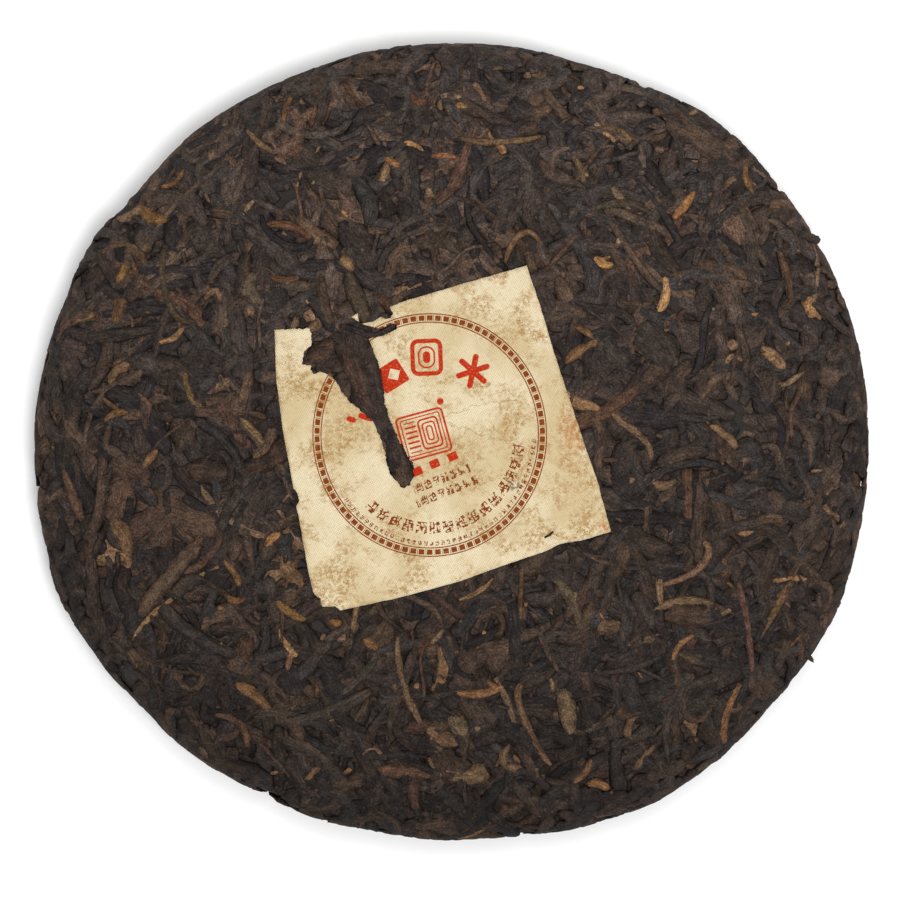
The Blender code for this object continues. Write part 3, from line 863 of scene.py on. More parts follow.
def make_core():
    """Dark inner body just under the leaves, seen only through the gaps: its near-black colour is partly
    crumbly tea dust, partly painted shade in the gaps between leaves.
    """
    run = np.linspace(0.0, SECTION.length, 110)[1:-1]
    bearing = np.linspace(0.0, 2.0 * math.pi, CORE_STEPS, endpoint=False)
    grid = place_at(np.broadcast_to(bearing, (len(run), CORE_STEPS)), run[:, None] + 0.0 * bearing[None, :])
    foot, outward, _ = on_surface(grid)
    rng = np.random.default_rng(5)
    relief = rng.normal(0.0, 1.0, (len(run), CORE_STEPS))
    for axis in (0, 1):
        relief = relief + np.roll(relief, 1, axis) + np.roll(relief, -1, axis)
    relief *= 0.04 * MM
    verts = (foot + outward * (np.clip(relief, -0.3 * MM, 0.3 * MM) - CORE_DEPTH)[..., None]).reshape(-1, 3)
    top = [CENTRE[0], CENTRE[1], CROWN_HEIGHT - CORE_DEPTH]
    bottom = [CENTRE[0], CENTRE[1], HOLLOW_DEPTH + CORE_DEPTH]
    verts = np.concatenate([verts, [top, bottom]])
    row = np.arange(len(run) - 1)[:, None] * CORE_STEPS
    step = np.arange(CORE_STEPS)[None, :]
    after = (step + 1) % CORE_STEPS
    below = row + CORE_STEPS
    quads = np.stack([row + step, below + step, below + after, row + after], -1).reshape(-1)
    last = (len(run) - 1) * CORE_STEPS
    step, after = step.ravel(), after.ravel()
    top_fan = np.stack([np.full(CORE_STEPS, len(verts) - 2), step, after], -1).reshape(-1)
    bottom_fan = np.stack([np.full(CORE_STEPS, len(verts) - 1), last + after, last + step], -1).reshape(-1)
    loops = np.concatenate([quads, top_fan, bottom_fan])
    totals = np.concatenate([np.full(len(quads) // 4, 4), np.full(2 * CORE_STEPS, 3)])
    return make_object("pressed_core", verts, loops, totals)


# ---------------------------------------------------------------- ticket

TICKET_CENTRE = CENTRE + np.array([-2.15, 1.17]) * MM
TICKET_TURN = math.radians(15.3)
PAPER_THICKNESS = 0.10 * MM
PAPER_SWAY = 0.07 * MM  # how much more it rises where it bridges uneven leaves
PAPER_RISE = 0.02 * MM  # underside of the paper over the smooth surface
PAPER_CELL = 0.55
RING_CENTRE = (-1.0, 0.14)
RING_STRETCH = (1.018, 0.980)  # the printed ring is slightly taller than wide
COVER_MARGIN = 4.5  # how far in from the paper's edges leaves are still laid
LEFT_EDGE = (
    (-16.4, 18.1),
    (-17.8, 12.0),
    (-18.7, 5.3),
    (-19.1, 0.5),
    (-19.3, -1.8),
    (-19.0, -2.5),
    (-19.0, -3.5),
    (-19.6, -4.1),
    (-19.6, -5.1),
    (-20.3, -12.4),
    (-20.4, -15.1),
    (-20.1, -15.8),
    (-19.7, -16.1),
    (-19.9, -16.8),
    (-19.8, -17.2),
    (-18.2, -17.5),
    (-17.7, -18.2),
)
FOOT_EDGE = (
    (-9.9, -18.6),
    (-2.1, -18.6),
    (2.5, -18.2),
    (9.1, -17.8),
    (11.3, -17.4),
    (14.1, -17.7),
    (17.8, -17.6),
)
RIGHT_EDGE = ((17.8, -10.7), (17.5, -7.0), (17.3, -3.0), (16.8, 6.0), (16.7, 12.2), (16.4, 17.5))
HEAD_EDGE = (
    (7.8, 17.4),
    (0.1, 17.2),
    (-1.6, 17.0),
    (-1.4, 16.1),
    (-1.9, 15.6),
    (-2.5, 15.7),
    (-3.0, 16.1),
    (-4.0, 15.8),
    (-5.6, 15.9),
    (-4.5, 15.2),
    (-3.4, 14.6),
    (-2.5, 14.8),
    (-1.7, 14.9),
    (-1.3, 14.6),
    (-1.5, 14.1),
    (-3.5, 13.7),
    (-5.2, 13.9),
)
TEAR_EDGE = (
    (-5.0, 11.9),
    (-4.8, 10.3),
    (-5.0, 8.0),
    (-5.4, 4.9),
    (-5.3, 3.2),
    (-4.9, 0.5),
    (-3.9, -2.9),
    (-4.3, -4.4),
    (-5.8, -5.5),
    (-6.3, -5.0),
    (-7.1, -3.2),
    (-7.0, 0.5),
    (-7.3, 3.3),
    (-8.9, 5.9),
    (-9.7, 7.1),
    (-10.3, 8.5),
    (-10.7, 10.2),
    (-11.9, 11.5),
    (-13.0, 11.4),
    (-13.3, 12.0),
    (-13.1, 12.5),
    (-14.2, 13.0),
    (-13.6, 14.3),
    (-12.4, 15.1),
    (-12.0, 16.2),
    (-12.0, 17.1),
)
SLIT = ((9.5, -16.25), (10.3, -16.1), (10.9, -15.75), (10.7, -15.6), (10.0, -15.85), (9.55, -16.0))
SCRAP = ((-6.6, 17.1), (-5.7, 17.3), (-5.8, 16.2))
INSIDE_WITH_HOLES = 2  # Blender's number for a triangulation that leaves holes open


def frayed(points, last, rng, step, roughness):
    """The edge through the points up to just before the last, with points every step, roughened."""
    whole = list(points) + [last]
    rough = []
    for (x0, y0), (x1, y1) in zip(whole, whole[1:]):
        count = max(1, round(math.hypot(x1 - x0, y1 - y0) / step))
        for part in range(count):
            share = part / count
            jitter = rng.normal(0.0, roughness, 2)
            rough.append((x0 + (x1 - x0) * share + jitter[0], y0 + (y1 - y0) * share + jitter[1]))
    return rough


def gap_to_outline(points, outline):
    """Distance of each point to the closed outline."""
    start = np.array(outline)
    end = np.roll(start, -1, axis=0)
    along = end - start
    offset = points[:, None, :] - start[None, :, :]
    share = np.clip((offset * along).sum(-1) / (along**2).sum(-1), 0.0, 1.0)
    return np.linalg.norm(offset - share[..., None] * along, axis=-1).min(1)


def make_ticket():
    """The torn slip: a closed thin sheet that follows the top, with its slit and a scrap in the tear."""
    rng = np.random.default_rng(31)
    outline = frayed(LEFT_EDGE + FOOT_EDGE + RIGHT_EDGE + HEAD_EDGE, TEAR_EDGE[0], rng, 0.45, 0.018)
    outline += frayed(TEAR_EDGE, LEFT_EDGE[0], rng, 0.26, 0.06)
    slit = frayed(SLIT, SLIT[0], rng, 0.3, 0.03)
    scrap = frayed(SCRAP, SCRAP[0], rng, 0.4, 0.02)
    span = np.arange(-21.0, 21.0, PAPER_CELL)
    grid = np.stack(np.meshgrid(span, span), -1).reshape(-1, 2)
    grid = grid + rng.uniform(-0.08, 0.08, grid.shape)
    clear = gap_to_outline(grid, outline) > 0.3 * PAPER_CELL
    clear &= gap_to_outline(grid, slit) > 0.5 * PAPER_CELL
    grid = grid[clear]
    points, loops = [], []
    for loop in (outline, slit, scrap):
        loops.append(list(range(len(points), len(points) + len(loop))))
        points += loop
    points = [Vector(point) for point in points] + [Vector(point) for point in grid]
    flat, _, faces, *_ = delaunay_2d_cdt(points, [], loops, INSIDE_WITH_HOLES, 0.0001)
    faces = np.array([face[:] for face in faces])
    local = np.array([point[:] for point in flat])
    used, faces = np.unique(faces, return_inverse=True)
    faces = faces.reshape(-1, 3)
    local = local[used]
    a, b, c = (local[faces[:, corner]] for corner in range(3))
    turned = np.cross(b - a, c - a) < 0.0
    faces[turned] = faces[turned][:, ::-1]

    cos, sin = math.cos(TICKET_TURN), math.sin(TICKET_TURN)
    x = TICKET_CENTRE[0] + (local[:, 0] * cos - local[:, 1] * sin) * MM
    y = TICKET_CENTRE[1] + (local[:, 0] * sin + local[:, 1] * cos) * MM
    foot, outward, _ = on_surface(np.stack([x, y, np.full(len(x), CROWN_HEIGHT)], -1))
    rise = PAPER_RISE + PAPER_SWAY * soft_noise(rng, local, 2.6)
    bottom = foot + outward * rise[:, None]
    top = bottom + outward * PAPER_THICKNESS
    count = len(local)
    edges = np.concatenate([faces[:, [0, 1]], faces[:, [1, 2]], faces[:, [2, 0]]])
    key = edges.min(axis=1) * count + edges.max(axis=1)
    _, first, times = np.unique(key, return_index=True, return_counts=True)
    border = edges[first[times == 1]]
    walls = np.stack([border[:, 1], border[:, 0], border[:, 0] + count, border[:, 1] + count], 1)
    corners = np.concatenate([faces.ravel(), (faces[:, ::-1] + count).ravel(), walls.ravel()])
    totals = np.concatenate([np.full(2 * len(faces), 3), np.full(len(walls), 4)])
    verts = np.minimum(np.concatenate([top, bottom]), BOX_HIGH)
    ticket = make_object("ticket", verts, corners, totals)
    both = np.concatenate([local, local])
    flat_level = np.zeros((2 * count, 1))
    add_vector(ticket, "slip", np.concatenate([both, flat_level], 1))
    offset = both - np.array(RING_CENTRE)
    upright = np.stack([offset[:, 0] * cos - offset[:, 1] * sin, offset[:, 0] * sin + offset[:, 1] * cos], 1)
    add_vector(ticket, "ring", np.concatenate([upright * np.array(RING_STRETCH), flat_level], 1))
    # The face of the paper gets most of the map, its back and its cut edges a strip beside it
    uv = (both[corners] + 21.0) / 42.0
    front = np.arange(len(corners)) < 3 * len(faces)
    uv[:, 0] = np.where(front, uv[:, 0] * 0.84, 0.86 + uv[:, 0] * 0.13)
    add_bake_map(ticket, uv)
    return ticket


def soft_noise(rng, places, size):
    """Smooth noise from 0 to 1 over flat places, with swells of about the given size."""
    total = np.zeros(len(places))
    for _ in range(14):
        way = rng.uniform(0.0, 2.0 * math.pi)
        pace = rng.uniform(0.6, 1.6) / size
        wave = np.array([math.cos(way), math.sin(way)]) * 2.0 * math.pi * pace / 1.6
        total += np.sin(places @ wave + rng.uniform(0.0, 6.28))
    return np.clip(0.5 + total / 9.0, 0.0, 1.0)


def under_paper(start):
    """Which starting places on the top lie under the paper, well away from its edges."""
    offset = (start[:, :2] - TICKET_CENTRE) / MM
    cos, sin = math.cos(TICKET_TURN), math.sin(TICKET_TURN)
    across = offset[:, 0] * cos + offset[:, 1] * sin
    up = -offset[:, 0] * sin + offset[:, 1] * cos
    local = np.stack([across, up], 1)
    outline = LEFT_EDGE + FOOT_EDGE + RIGHT_EDGE + HEAD_EDGE + TEAR_EDGE
    near = gap_to_outline(local, outline) < COVER_MARGIN
    square = (np.abs(across) < 17.5) & (np.abs(up) < 17.0)
    return square & ~near & (start[:, 2] > RIM_HEIGHT)


core = make_core()
ticket = make_ticket()
leaf_pieces = make_leaf_pieces() + [make_laid_leaves()]


# ---------------------------------------------------------------- materials


class Nodes:
    """Short ways to build a node tree from formulas."""

    def __init__(self, name):
        self.material = bpy.data.materials.new(name)
        self.material.use_nodes = True
        self.tree = self.material.node_tree
        self.shader = self.tree.nodes["Principled BSDF"]

    def new(self, kind, inputs=None, **settings):
        node = self.tree.nodes.new(kind)
        for key, value in settings.items():
            setattr(node, key, value)
        for key, value in (inputs or {}).items():
            self.feed(node.inputs[key], value)
        return node

    def feed(self, socket, value):
        if isinstance(value, bpy.types.NodeSocket):
            self.tree.links.new(value, socket)
        else:
            socket.default_value = value

    def math(self, operation, *values):
        node = self.tree.nodes.new("ShaderNodeMath")
        node.operation = operation
        for socket, value in zip(node.inputs, values):
            self.feed(socket, value)
        return node.outputs[0]

    def attribute(self, name):
        return self.new("ShaderNodeAttribute", attribute_name=name)

    def noise(self, vector, scale, detail=2.0, rough=0.5, distortion=0.0):
        inputs = {"Vector": vector, "Scale": scale, "Detail": detail}
        inputs |= {"Roughness": rough, "Distortion": distortion}
        return self.new("ShaderNodeTexNoise", inputs).outputs["Fac"]

    def ranged(self, value, low, high, to_low=0.0, to_high=1.0):
        node = self.new(
            "ShaderNodeMapRange",
            {"Value": value, "From Min": low, "From Max": high, "To Min": to_low, "To Max": to_high},
            interpolation_type="SMOOTHSTEP",
        )
        return node.outputs["Result"]

    def mix(self, share, first, second, blend="MIX"):
        node = self.new("ShaderNodeMix", data_type="RGBA", blend_type=blend)
        self.feed(node.inputs["Factor"], share)
        self.feed(node.inputs[6], first)
        self.feed(node.inputs[7], second)
        return node.outputs[2]

    def scaled(self, vector, by):
        node = self.new("ShaderNodeVectorMath", operation="MULTIPLY")
        self.feed(node.inputs[0], vector)
        self.feed(node.inputs[1], by)
        return node.outputs[0]


def rgba(colour):
    return (*[float(part) for part in colour], 1.0)


def leaf_material(name):
    """Dry pressed leaf: its own colour with mottling, lengthwise fibres, painted shade in the creases, dust
    and fine relief.
    """
    n = Nodes(name)
    # The leaf colour attribute holds each leaf's own colour with painted shade at its edges and painted light
    # towards the head.
    own = n.attribute("leaf_colour_and_painted_shading").outputs["Color"]
    grain = n.attribute("grain").outputs["Vector"]
    world = n.scaled(n.new("ShaderNodeTexCoord").outputs["Object"], (1000.0, 1000.0, 1000.0))
    mottle = n.noise(world, 0.8, 5.0, 0.65)
    fibres = n.noise(n.scaled(grain, (0.5, 4.2, 1.0)), 1.0, 3.0, 0.65)
    ridges = n.noise(n.scaled(grain, (0.20, 1.3, 1.0)), 1.0, 2.0, 0.5, 0.3)
    crease = n.ranged(n.math("ABSOLUTE", n.math("SUBTRACT", ridges, 0.5)), 0.0, 0.03)
    cells = n.scaled(grain, (1.5, 2.8, 1.0))
    leather = n.new("ShaderNodeTexVoronoi", {"Vector": cells, "Scale": 1.0}, feature="F1").outputs["Distance"]
    fine = n.noise(world, 4.5, 3.0, 0.7)
    shade = n.ranged(mottle, 0.32, 0.68, 0.66, 1.36)
    shade = n.math("MULTIPLY", shade, n.ranged(fibres, 0.30, 0.70, 0.88, 1.12))
    shade = n.math("MULTIPLY", shade, n.ranged(fine, 0.34, 0.66, 0.56, 1.50))
    # Painted shade: the leaf is drawn darker along its lengthwise creases.
    shade = n.math("MULTIPLY", shade, n.ranged(crease, 0.0, 1.0, 0.66, 1.0))
    shade = n.math("MULTIPLY", shade, n.ranged(leather, 0.1, 0.7, 1.08, 0.84))
    grey = n.new("ShaderNodeCombineXYZ", {0: shade, 1: shade, 2: shade}).outputs[0]
    colour = n.mix(1.0, own, grey, "MULTIPLY")
    patch = n.ranged(n.noise(world, 0.30, 4.0, 0.65), 0.54, 0.70)
    ochre = n.math("MULTIPLY", patch, n.ranged(fibres, 0.44, 0.62))
    colour = n.mix(n.math("MULTIPLY", ochre, 0.30), colour, rgba(TAN))
    specks = n.ranged(n.noise(world, 3.6, 1.0, 0.5), 0.745, 0.79)
    colour = n.mix(n.math("MULTIPLY", specks, 0.5), colour, rgba(srgb(132, 114, 98)))
    n.feed(n.shader.inputs["Base Color"], colour)
    n.feed(n.shader.inputs["Roughness"], n.ranged(mottle, 0.3, 0.7, 0.66, 0.86))
    n.shader.inputs["Specular IOR Level"].default_value = 0.12
    height = n.math("ADD", n.math("MULTIPLY", fibres, 0.40), n.math("MULTIPLY", fine, 0.80))
    height = n.math("SUBTRACT", height, n.math("MULTIPLY", leather, 0.45))
    height = n.math("ADD", height, n.math("MULTIPLY", mottle, 1.0))
    folded = n.math("ADD", n.math("MULTIPLY", crease, 0.35), n.math("MULTIPLY", ridges, 1.4))
    height = n.math("ADD", height, folded)
    bump = n.new("ShaderNodeBump", {"Height": height, "Strength": 0.85, "Distance": 0.16 * MM})
    n.feed(n.shader.inputs["Normal"], bump.outputs[0])
    return n.material


def core_material():
    n = Nodes("core_dust_and_painted_shade")
    world = n.scaled(n.new("ShaderNodeTexCoord").outputs["Object"], (1000.0, 1000.0, 1000.0))
    coarse = n.noise(world, 1.6, 4.0, 0.7)
    # Painted shade with dust: near black to dark brown, as in the deep gaps between the leaves.
    colour = n.mix(n.ranged(coarse, 0.35, 0.7), rgba(srgb(26, 22, 20)), rgba(srgb(54, 45, 40)))
    n.feed(n.shader.inputs["Base Color"], colour)
    n.feed(n.shader.inputs["Roughness"], n.ranged(coarse, 0.3, 0.7, 0.8, 0.95))
    bump = n.new("ShaderNodeBump", {"Height": coarse, "Strength": 1.0, "Distance": 0.3 * MM})
    n.feed(n.shader.inputs["Normal"], bump.outputs[0])
    return n.material


# Colours of the ticket
CREAM = srgb(232, 218, 184)
WARM_CREAM = srgb(212, 192, 150)
STAIN = srgb(178, 142, 92)
DARK_STAIN = srgb(134, 94, 48)
RED_INK = srgb(186, 46, 14)
BROWN_INK = srgb(128, 58, 14)

# Worn marks. Arcs: inner and outer radius, first and last bearing, spacing, share that is marked, fineness.
# Rows: middle and half sizes.
WORN_ARCS = (
    (10.75, 12.20, -0.76, 1.46, 1.72, 0.78, 1.35),
    (13.08, 13.62, -0.95, 1.52, 0.74, 0.62, 2.3),
)
WORN_ROWS = (((-1.0, -5.55), (3.75, 0.55)), ((-0.8, -7.25), (4.1, 0.55)))

# Print, in mm: places are from the slip's own centre along its sides, the ring's from the ring's centre
INK_SOFTNESS = 0.045
RING_RADIUS = 15.0
RING_BAND = 1.15
RING_LINE = 0.075
FRET_COUNT = 86
ORNAMENT_FRAME = ((1.20, 9.67), -13.0)  # two rounded frames with a drop in them
ORNAMENT_STAR = ((6.35, 6.45), -42.0)  # a six-armed star
ORNAMENT_BLOCK = ((-3.75, 8.75), 17.0)  # a block with a lozenge cut out of it, half torn away
ORNAMENT_DROPS = ((-8.9, 4.3), 58.0)  # two drops on the torn flap
SEAL = ((-1.70, 0.40), 0.0)


class Print:
    """Simple printed shapes over flat places, as masks from 0 to 1."""

    def __init__(self, nodes, place):
        self.n = nodes
        self.place = place

    def moved(self, centre, turn):
        """Places as seen from a centre, turned by an angle in degrees."""
        node = self.n.new(
            "ShaderNodeMapping",
            {"Vector": self.place, "Location": (*centre, 0.0), "Rotation": (0.0, 0.0, math.radians(turn))},
            vector_type="TEXTURE",
        )
        return Print(self.n, node.outputs[0])

    def vector(self, operation, *values):
        node = self.n.tree.nodes.new("ShaderNodeVectorMath")
        node.operation = operation
        for socket, value in zip(node.inputs, values):
            self.n.feed(socket, value)
        return node

    def block(self, centre, half, corner=0.15):
        """Distance to a rounded block: below zero inside it."""
        offset = self.vector("SUBTRACT", self.place, (*centre, 0.0)).outputs[0]
        reach = self.vector("ABSOLUTE", offset).outputs[0]
        over = self.vector("SUBTRACT", reach, (half[0] - corner, half[1] - corner, 0.0)).outputs[0]
        over = self.vector("MAXIMUM", over, (0.0, 0.0, 0.0)).outputs[0]
        return self.n.math("SUBTRACT", self.vector("LENGTH", over).outputs["Value"], corner)

    def ink(self, distance):
        return self.n.ranged(distance, -INK_SOFTNESS, INK_SOFTNESS, 1.0, 0.0)

    def solid(self, centre, half, corner=0.15):
        return self.ink(self.block(centre, half, corner))

    def frame(self, centre, half, width, corner=0.4):
        rim = self.n.math("ABSOLUTE", self.block(centre, half, corner))
        return self.ink(self.n.math("SUBTRACT", rim, width / 2.0))

    def joined(self, *masks):
        total = masks[0]
        for mask in masks[1:]:
            total = self.n.math("MAXIMUM", total, mask)
        return total

    def minus(self, mask, cut):
        return self.n.math("MULTIPLY", mask, self.n.math("SUBTRACT", 1.0, cut))


def band(n, value, low, high, soft=INK_SOFTNESS):
    """Mask of values between two limits."""
    rising = n.ranged(value, low - soft, low + soft)
    return n.math("MULTIPLY", rising, n.ranged(value, high - soft, high + soft, 1.0, 0.0))


def red_print(n, slip):
    """Red ornaments along an arc, a lattice seal and four small marks. None of them is lettering."""
    page = Print(n, slip)
    frame = page.moved(*ORNAMENT_FRAME)
    masks = [
        frame.frame((0.0, 0.0), (1.75, 2.05), 0.55, 0.7),
        frame.frame((0.0, 0.0), (0.98, 1.28), 0.22, 0.9),
        frame.solid((0.0, 0.0), (0.46, 0.74), 0.45),
    ]
    star = page.moved(*ORNAMENT_STAR)
    for turn in (15.0, 75.0, 135.0):
        arm = star.moved((0.0, 0.0), turn)
        masks.append(arm.solid((0.0, 1.25), (0.36, 0.95), 0.34))
        masks.append(arm.solid((0.0, -1.25), (0.36, 0.95), 0.34))
    masks.append(star.solid((0.0, 0.0), (0.5, 0.5), 0.5))
    block = page.moved(*ORNAMENT_BLOCK)
    window = block.moved((0.4, -0.2), 45.0).solid((0.0, 0.0), (0.62, 0.62), 0.05)
    masks.append(block.minus(block.solid((0.0, -0.2), (1.75, 1.6), 0.3), window))
    drops = page.moved(*ORNAMENT_DROPS)
    masks.append(drops.solid((-0.3, 1.1), (0.34, 0.6), 0.32))
    masks.append(drops.solid((0.5, -0.6), (0.36, 1.0), 0.34))

    seal = page.moved(*SEAL)
    masks.append(seal.frame((0.0, 0.0), (2.95, 2.75), 0.26, 0.5))
    masks.append(seal.frame((0.0, 0.0), (2.50, 2.32), 0.15, 0.3))
    sides = n.new("ShaderNodeSeparateXYZ", {"Vector": seal.place}).outputs
    rungs = n.math("PINGPONG", sides[1], 0.32)
    rungs = band(n, rungs, -0.1, 0.13)
    masks.append(n.math("MULTIPLY", rungs, seal.solid((-1.42, 0.0), (0.74, 1.95), 0.1)))
    masks.append(seal.frame((0.85, 0.0), (1.22, 1.86), 0.24, 0.5))
    masks.append(seal.frame((0.85, 0.0), (0.78, 1.36), 0.20, 0.4))
    masks.append(seal.frame((0.85, 0.0), (0.34, 0.88), 0.20, 0.3))
    masks.append(page.solid((1.39, 3.87), (0.42, 0.42), 0.4))
    for across, up in ((-3.68, -3.85), (-1.35, -3.50), (1.07, -3.22)):
        masks.append(page.moved((across, up), 8.0).solid((0.0, 0.0), (0.62, 0.52), 0.12))
    return page.joined(*masks)


def strokes(n, across, up, pace):
    """Broken strokes both ways, as in print too small and worn to be made out."""
    place = n.new("ShaderNodeCombineXYZ", {"X": across, "Y": up, "Z": 0.0}).outputs[0]
    level = n.noise(n.scaled(place, (1.0 * pace, 3.4 * pace, 1.0)), 1.0, 0.0)
    upright = n.noise(n.scaled(place, (3.4 * pace, 1.0 * pace, 1.0)), 1.0, 0.0)
    most = n.math("MAXIMUM", level, upright)
    return n.ranged(most, 0.55, 0.60)


def brown_print(n, slip, ring_place):
    """The brown ring with its row of squares, two arcs and two rows of worn marks."""
    ring = Print(n, ring_place)
    radius = ring.vector("LENGTH", ring_place).outputs["Value"]
    sides = n.new("ShaderNodeSeparateXYZ", {"Vector": ring_place}).outputs
    bearing = n.math("ARCTAN2", sides[1], sides[0])
    around = n.math("MULTIPLY", bearing, RING_RADIUS - RING_BAND / 2.0)
    inner = RING_RADIUS - RING_BAND
    masks = [
        band(n, radius, RING_RADIUS - 1.5 * RING_LINE, RING_RADIUS),
        band(n, radius, inner, inner + 1.5 * RING_LINE),
    ]
    pitch = 2.0 * math.pi * (RING_RADIUS - RING_BAND / 2.0) / FRET_COUNT
    cell = n.math("WRAP", around, pitch, 0.0)
    fret = Print(n, n.new("ShaderNodeCombineXYZ", {"X": cell, "Y": radius, "Z": 0.0}).outputs[0])
    middle = (pitch / 2.0, RING_RADIUS - RING_BAND / 2.0)
    masks.append(fret.frame(middle, (pitch * 0.30, RING_BAND * 0.24), 0.065, 0.03))
    masks.append(fret.solid(middle, (pitch * 0.09, 0.03), 0.02))
    masks.append(fret.solid((0.02, middle[1]), (0.035, RING_BAND * 0.32), 0.01))

    # Arcs inside the foot of the ring: bearings are measured from straight down
    foot = n.math("ARCTAN2", sides[0], n.math("MULTIPLY", sides[1], -1.0))
    for low, high, start, end, gap, share, pace in WORN_ARCS:
        run = n.math("MULTIPLY", foot, (low + high) / 2.0)
        word = band(n, n.math("WRAP", run, gap, 0.0), 0.0, gap * share)
        mark = n.math("MULTIPLY", band(n, radius, low, high), band(n, foot, start, end))
        mark = n.math("MULTIPLY", mark, strokes(n, run, radius, pace))
        masks.append(n.math("MULTIPLY", mark, word))

    for centre, half in WORN_ROWS:
        row = Print(n, slip).moved(centre, 6.5)
        run, rise = n.new("ShaderNodeSeparateXYZ", {"Vector": row.place}).outputs[:2]
        word = band(n, n.math("WRAP", run, 1.14, 0.0), 0.0, 0.86)
        mark = n.math("MULTIPLY", row.solid((0.0, 0.0), half, 0.05), strokes(n, run, rise, 1.5))
        masks.append(n.math("MULTIPLY", mark, word))
    return ring.joined(*masks)


# Single spots on the paper: (place, half sizes, colour, strength), and its folds: (middle, turn, half length)
PAPER_SPOTS = (
    ((16.2, -4.6), (0.8, 2.4), srgb(186, 120, 76), 0.55),
    ((7.6, -8.7), (0.32, 0.28), srgb(70, 66, 52), 0.95),
    ((17.3, -17.0), (0.35, 0.3), srgb(176, 96, 36), 0.85),
    ((0.9, 2.6), (1.4, 0.7), srgb(176, 140, 92), 0.45),
    ((-12.6, 4.3), (0.5, 0.7), srgb(170, 132, 84), 0.5),
)
PAPER_FOLDS = (((5.6, 1.8), 2.0, 6.0), ((4.8, -1.2), -28.0, 5.0), ((-17.2, 11.0), -26.0, 2.6))


def paper_material():
    """Cloth-pressed cotton paper, stained by the tea, with its print."""
    n = Nodes("ticket_paper")
    slip = n.attribute("slip").outputs["Vector"]
    ring_place = n.attribute("ring").outputs["Vector"]
    cloud = n.noise(slip, 0.16, 6.0, 0.72, 0.3)
    grit = n.noise(slip, 1.5, 4.0, 0.75)
    dots = n.noise(slip, 4.2, 2.0, 0.6)
    threads = n.new("ShaderNodeSeparateXYZ", {"Vector": slip}).outputs
    pace = 2.0 * math.pi / 0.34
    weft = n.math("SINE", n.math("MULTIPLY", threads[0], pace))
    warp = n.math("SINE", n.math("MULTIPLY", threads[1], pace))
    weave = n.math("MULTIPLY", weft, warp)

    colour = n.mix(n.ranged(n.noise(slip, 0.09, 3.0, 0.6), 0.38, 0.62), rgba(CREAM), rgba(WARM_CREAM))
    stained = n.ranged(cloud, 0.44, 0.62)
    colour = n.mix(n.math("MULTIPLY", stained, n.ranged(grit, 0.40, 0.60, 0.0, 0.95)), colour, rgba(STAIN))
    freckle = n.math("MULTIPLY", n.ranged(dots, 0.55, 0.68), n.ranged(cloud, 0.44, 0.62, 0.16, 0.85))
    colour = n.mix(freckle, colour, rgba(DARK_STAIN))
    blotch = n.ranged(n.noise(slip, 0.42, 5.0, 0.7), 0.60, 0.70)
    blotch = n.math("MULTIPLY", blotch, n.ranged(grit, 0.40, 0.60))
    colour = n.mix(n.math("MULTIPLY", blotch, 0.55), colour, rgba(DARK_STAIN))
    holes = n.math("MULTIPLY", n.ranged(weave, 0.25, 0.75), n.ranged(grit, 0.36, 0.62, 0.30, 0.80))
    colour = n.mix(holes, colour, rgba(STAIN))
    page = Print(n, slip)
    for (across, up), (wide, high), tint, strength in PAPER_SPOTS:
        away = page.block((across, up), (wide, high), min(wide, high))
        spot = n.math("MULTIPLY", n.ranged(away, -0.2, 0.9, 1.0, 0.0), n.ranged(grit, 0.40, 0.58))
        colour = n.mix(n.math("MULTIPLY", spot, strength), colour, rgba(tint))
    fold_lines = []
    for centre, turn, reach in PAPER_FOLDS:
        line = page.moved(centre, turn)
        sway = n.math("MULTIPLY", n.math("SUBTRACT", cloud, 0.5), 5.0)
        shifted = n.new("ShaderNodeCombineXYZ", {"X": 0.0, "Y": sway, "Z": 0.0}).outputs[0]
        line = Print(n, line.vector("ADD", line.place, shifted).outputs[0])
        fold_lines.append(line.ink(line.block((0.0, 0.0), (reach, 0.03), 0.02)))
    folds = page.joined(*fold_lines)
    # Painted shade: the fold creases are drawn darker.
    colour = n.mix(n.math("MULTIPLY", folds, 0.55), colour, rgba(DARK_STAIN))
    worn = n.ranged(n.noise(slip, 3.2, 3.0, 0.7), 0.32, 0.50, 0.80, 1.0)
    brown = n.ranged(brown_print(n, slip, ring_place), 0.0, 0.55)
    colour = n.mix(n.math("MULTIPLY", brown, worn), colour, rgba(BROWN_INK))
    colour = n.mix(n.math("MULTIPLY", red_print(n, slip), worn), colour, rgba(RED_INK))
    n.feed(n.shader.inputs["Base Color"], colour)
    n.feed(n.shader.inputs["Roughness"], n.ranged(grit, 0.3, 0.7, 0.8, 0.94))
    n.shader.inputs["Specular IOR Level"].default_value = 0.08
    height = n.math("ADD", n.math("MULTIPLY", weave, -0.26), n.math("MULTIPLY", cloud, 2.2))
    height = n.math("ADD", height, n.math("MULTIPLY", grit, 0.9))
    height = n.math("SUBTRACT", height, n.math("MULTIPLY", folds, 0.4))
    bump = n.new("ShaderNodeBump", {"Height": height, "Strength": 0.8, "Distance": 0.11 * MM})
    n.feed(n.shader.inputs["Normal"], bump.outputs[0])
    return n.material


leaf_look = leaf_material("pressed_leaf")
for piece in leaf_pieces:
    piece.data.materials.append(leaf_look)
core.data.materials.append(core_material())
ticket.data.materials.append(paper_material())

for piece in leaf_pieces + [core]:
    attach(piece, "root")
    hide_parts("tea_cake")
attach(ticket, "root")
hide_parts("paper_ticket")


# ---------------------------------------------------------------- floor, light and camera

FLOOR_SIZE = 3.0
FLOOR_GLOW = 0.10  # what the white table adds of its own
VIEW_WIDTH = 115.26 * MM  # width of the picture at the cake's widest level
CAMERA_DISTANCE = 0.55
SENSOR_WIDTH = 36.0
AIM = CENTRE + np.array([-0.60, -0.84]) * MM


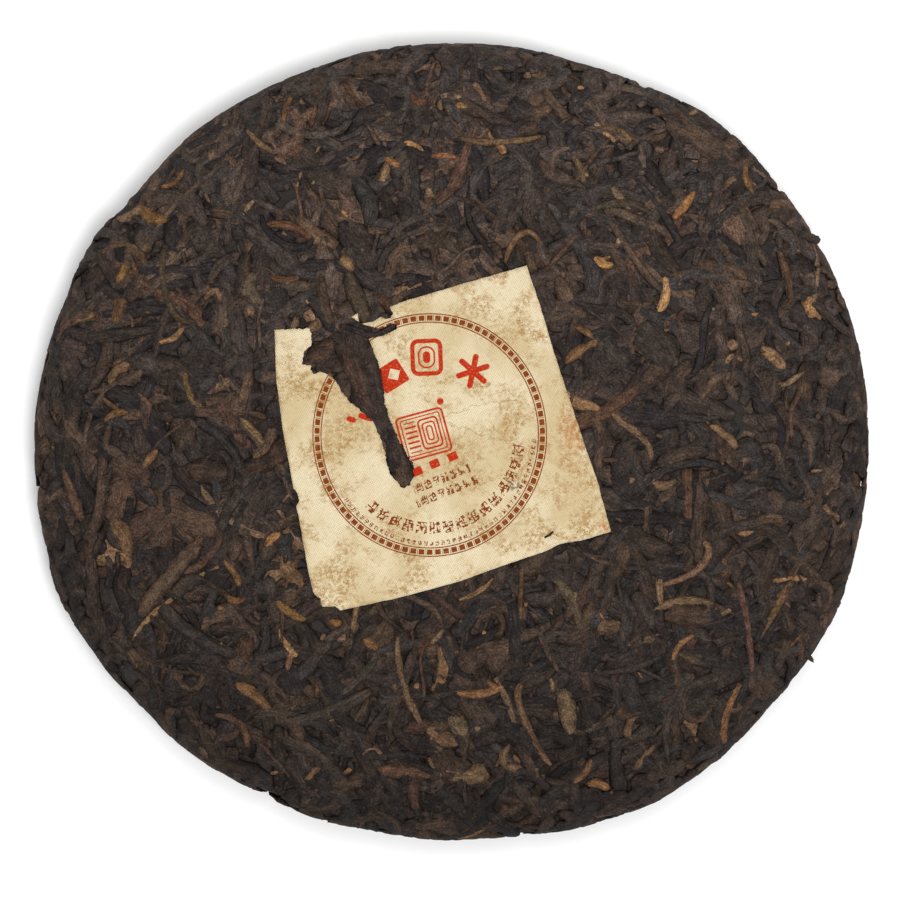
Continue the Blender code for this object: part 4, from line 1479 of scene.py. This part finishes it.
def make_floor():
    mesh = bpy.data.meshes.new("floor")
    shape = bmesh.new()
    bmesh.ops.create_grid(shape, x_segments=1, y_segments=1, size=FLOOR_SIZE / 2.0)
    shape.to_mesh(mesh)
    shape.free()
    floor = bpy.data.objects.new("floor", mesh)
    bpy.context.scene.collection.objects.link(floor)
    n = Nodes("pale_floor")
    n.shader.inputs["Base Color"].default_value = (0.95, 0.95, 0.95, 1.0)
    n.shader.inputs["Roughness"].default_value = 0.9
    n.shader.inputs["Specular IOR Level"].default_value = 0.1
    # The glow shows to the camera only, so it keeps the table white without lighting the cake
    seen = n.new("ShaderNodeLightPath").outputs["Is Camera Ray"]
    glow = n.new("ShaderNodeEmission", {"Strength": n.math("MULTIPLY", seen, FLOOR_GLOW)})
    both = n.new("ShaderNodeAddShader", {0: n.shader.outputs[0], 1: glow.outputs[0]})
    n.tree.links.new(both.outputs[0], n.tree.nodes["Material Output"].inputs["Surface"])
    mesh.materials.append(n.material)


def make_lamp(name, place, size, power):
    lamp = bpy.data.lights.new(name, "AREA")
    lamp.shape = "DISK"
    lamp.size = size
    lamp.energy = power
    obj = bpy.data.objects.new(name, lamp)
    bpy.context.scene.collection.objects.link(obj)
    obj.location = place
    aim = Vector((0.0, 0.0, CROWN_HEIGHT)) - Vector(place)
    obj.rotation_euler = aim.to_track_quat("-Z", "Y").to_euler()


def make_light():
    world = bpy.data.worlds.new("studio")
    world.use_nodes = True
    world.node_tree.nodes["Background"].inputs["Color"].default_value = (1.0, 1.0, 1.0, 1.0)
    world.node_tree.nodes["Background"].inputs["Strength"].default_value = 0.36
    bpy.context.scene.world = world
    make_lamp("key", (0.14, -0.18, 1.00), 0.32, 6.0)
    make_lamp("fill", (0.05, 0.28, 1.00), 0.40, 2.7)


def make_camera():
    camera = bpy.data.cameras.new("camera")
    camera.sensor_width = SENSOR_WIDTH
    camera.lens = SENSOR_WIDTH * CAMERA_DISTANCE / VIEW_WIDTH
    camera.clip_start = 0.01
    obj = bpy.data.objects.new("camera", camera)
    bpy.context.scene.collection.objects.link(obj)
    obj.location = (AIM[0], AIM[1], RIM_HEIGHT + CAMERA_DISTANCE)
    bpy.context.scene.camera = obj


make_floor()
make_light()
make_camera()
bpy.context.scene.view_settings.view_transform = "Standard"
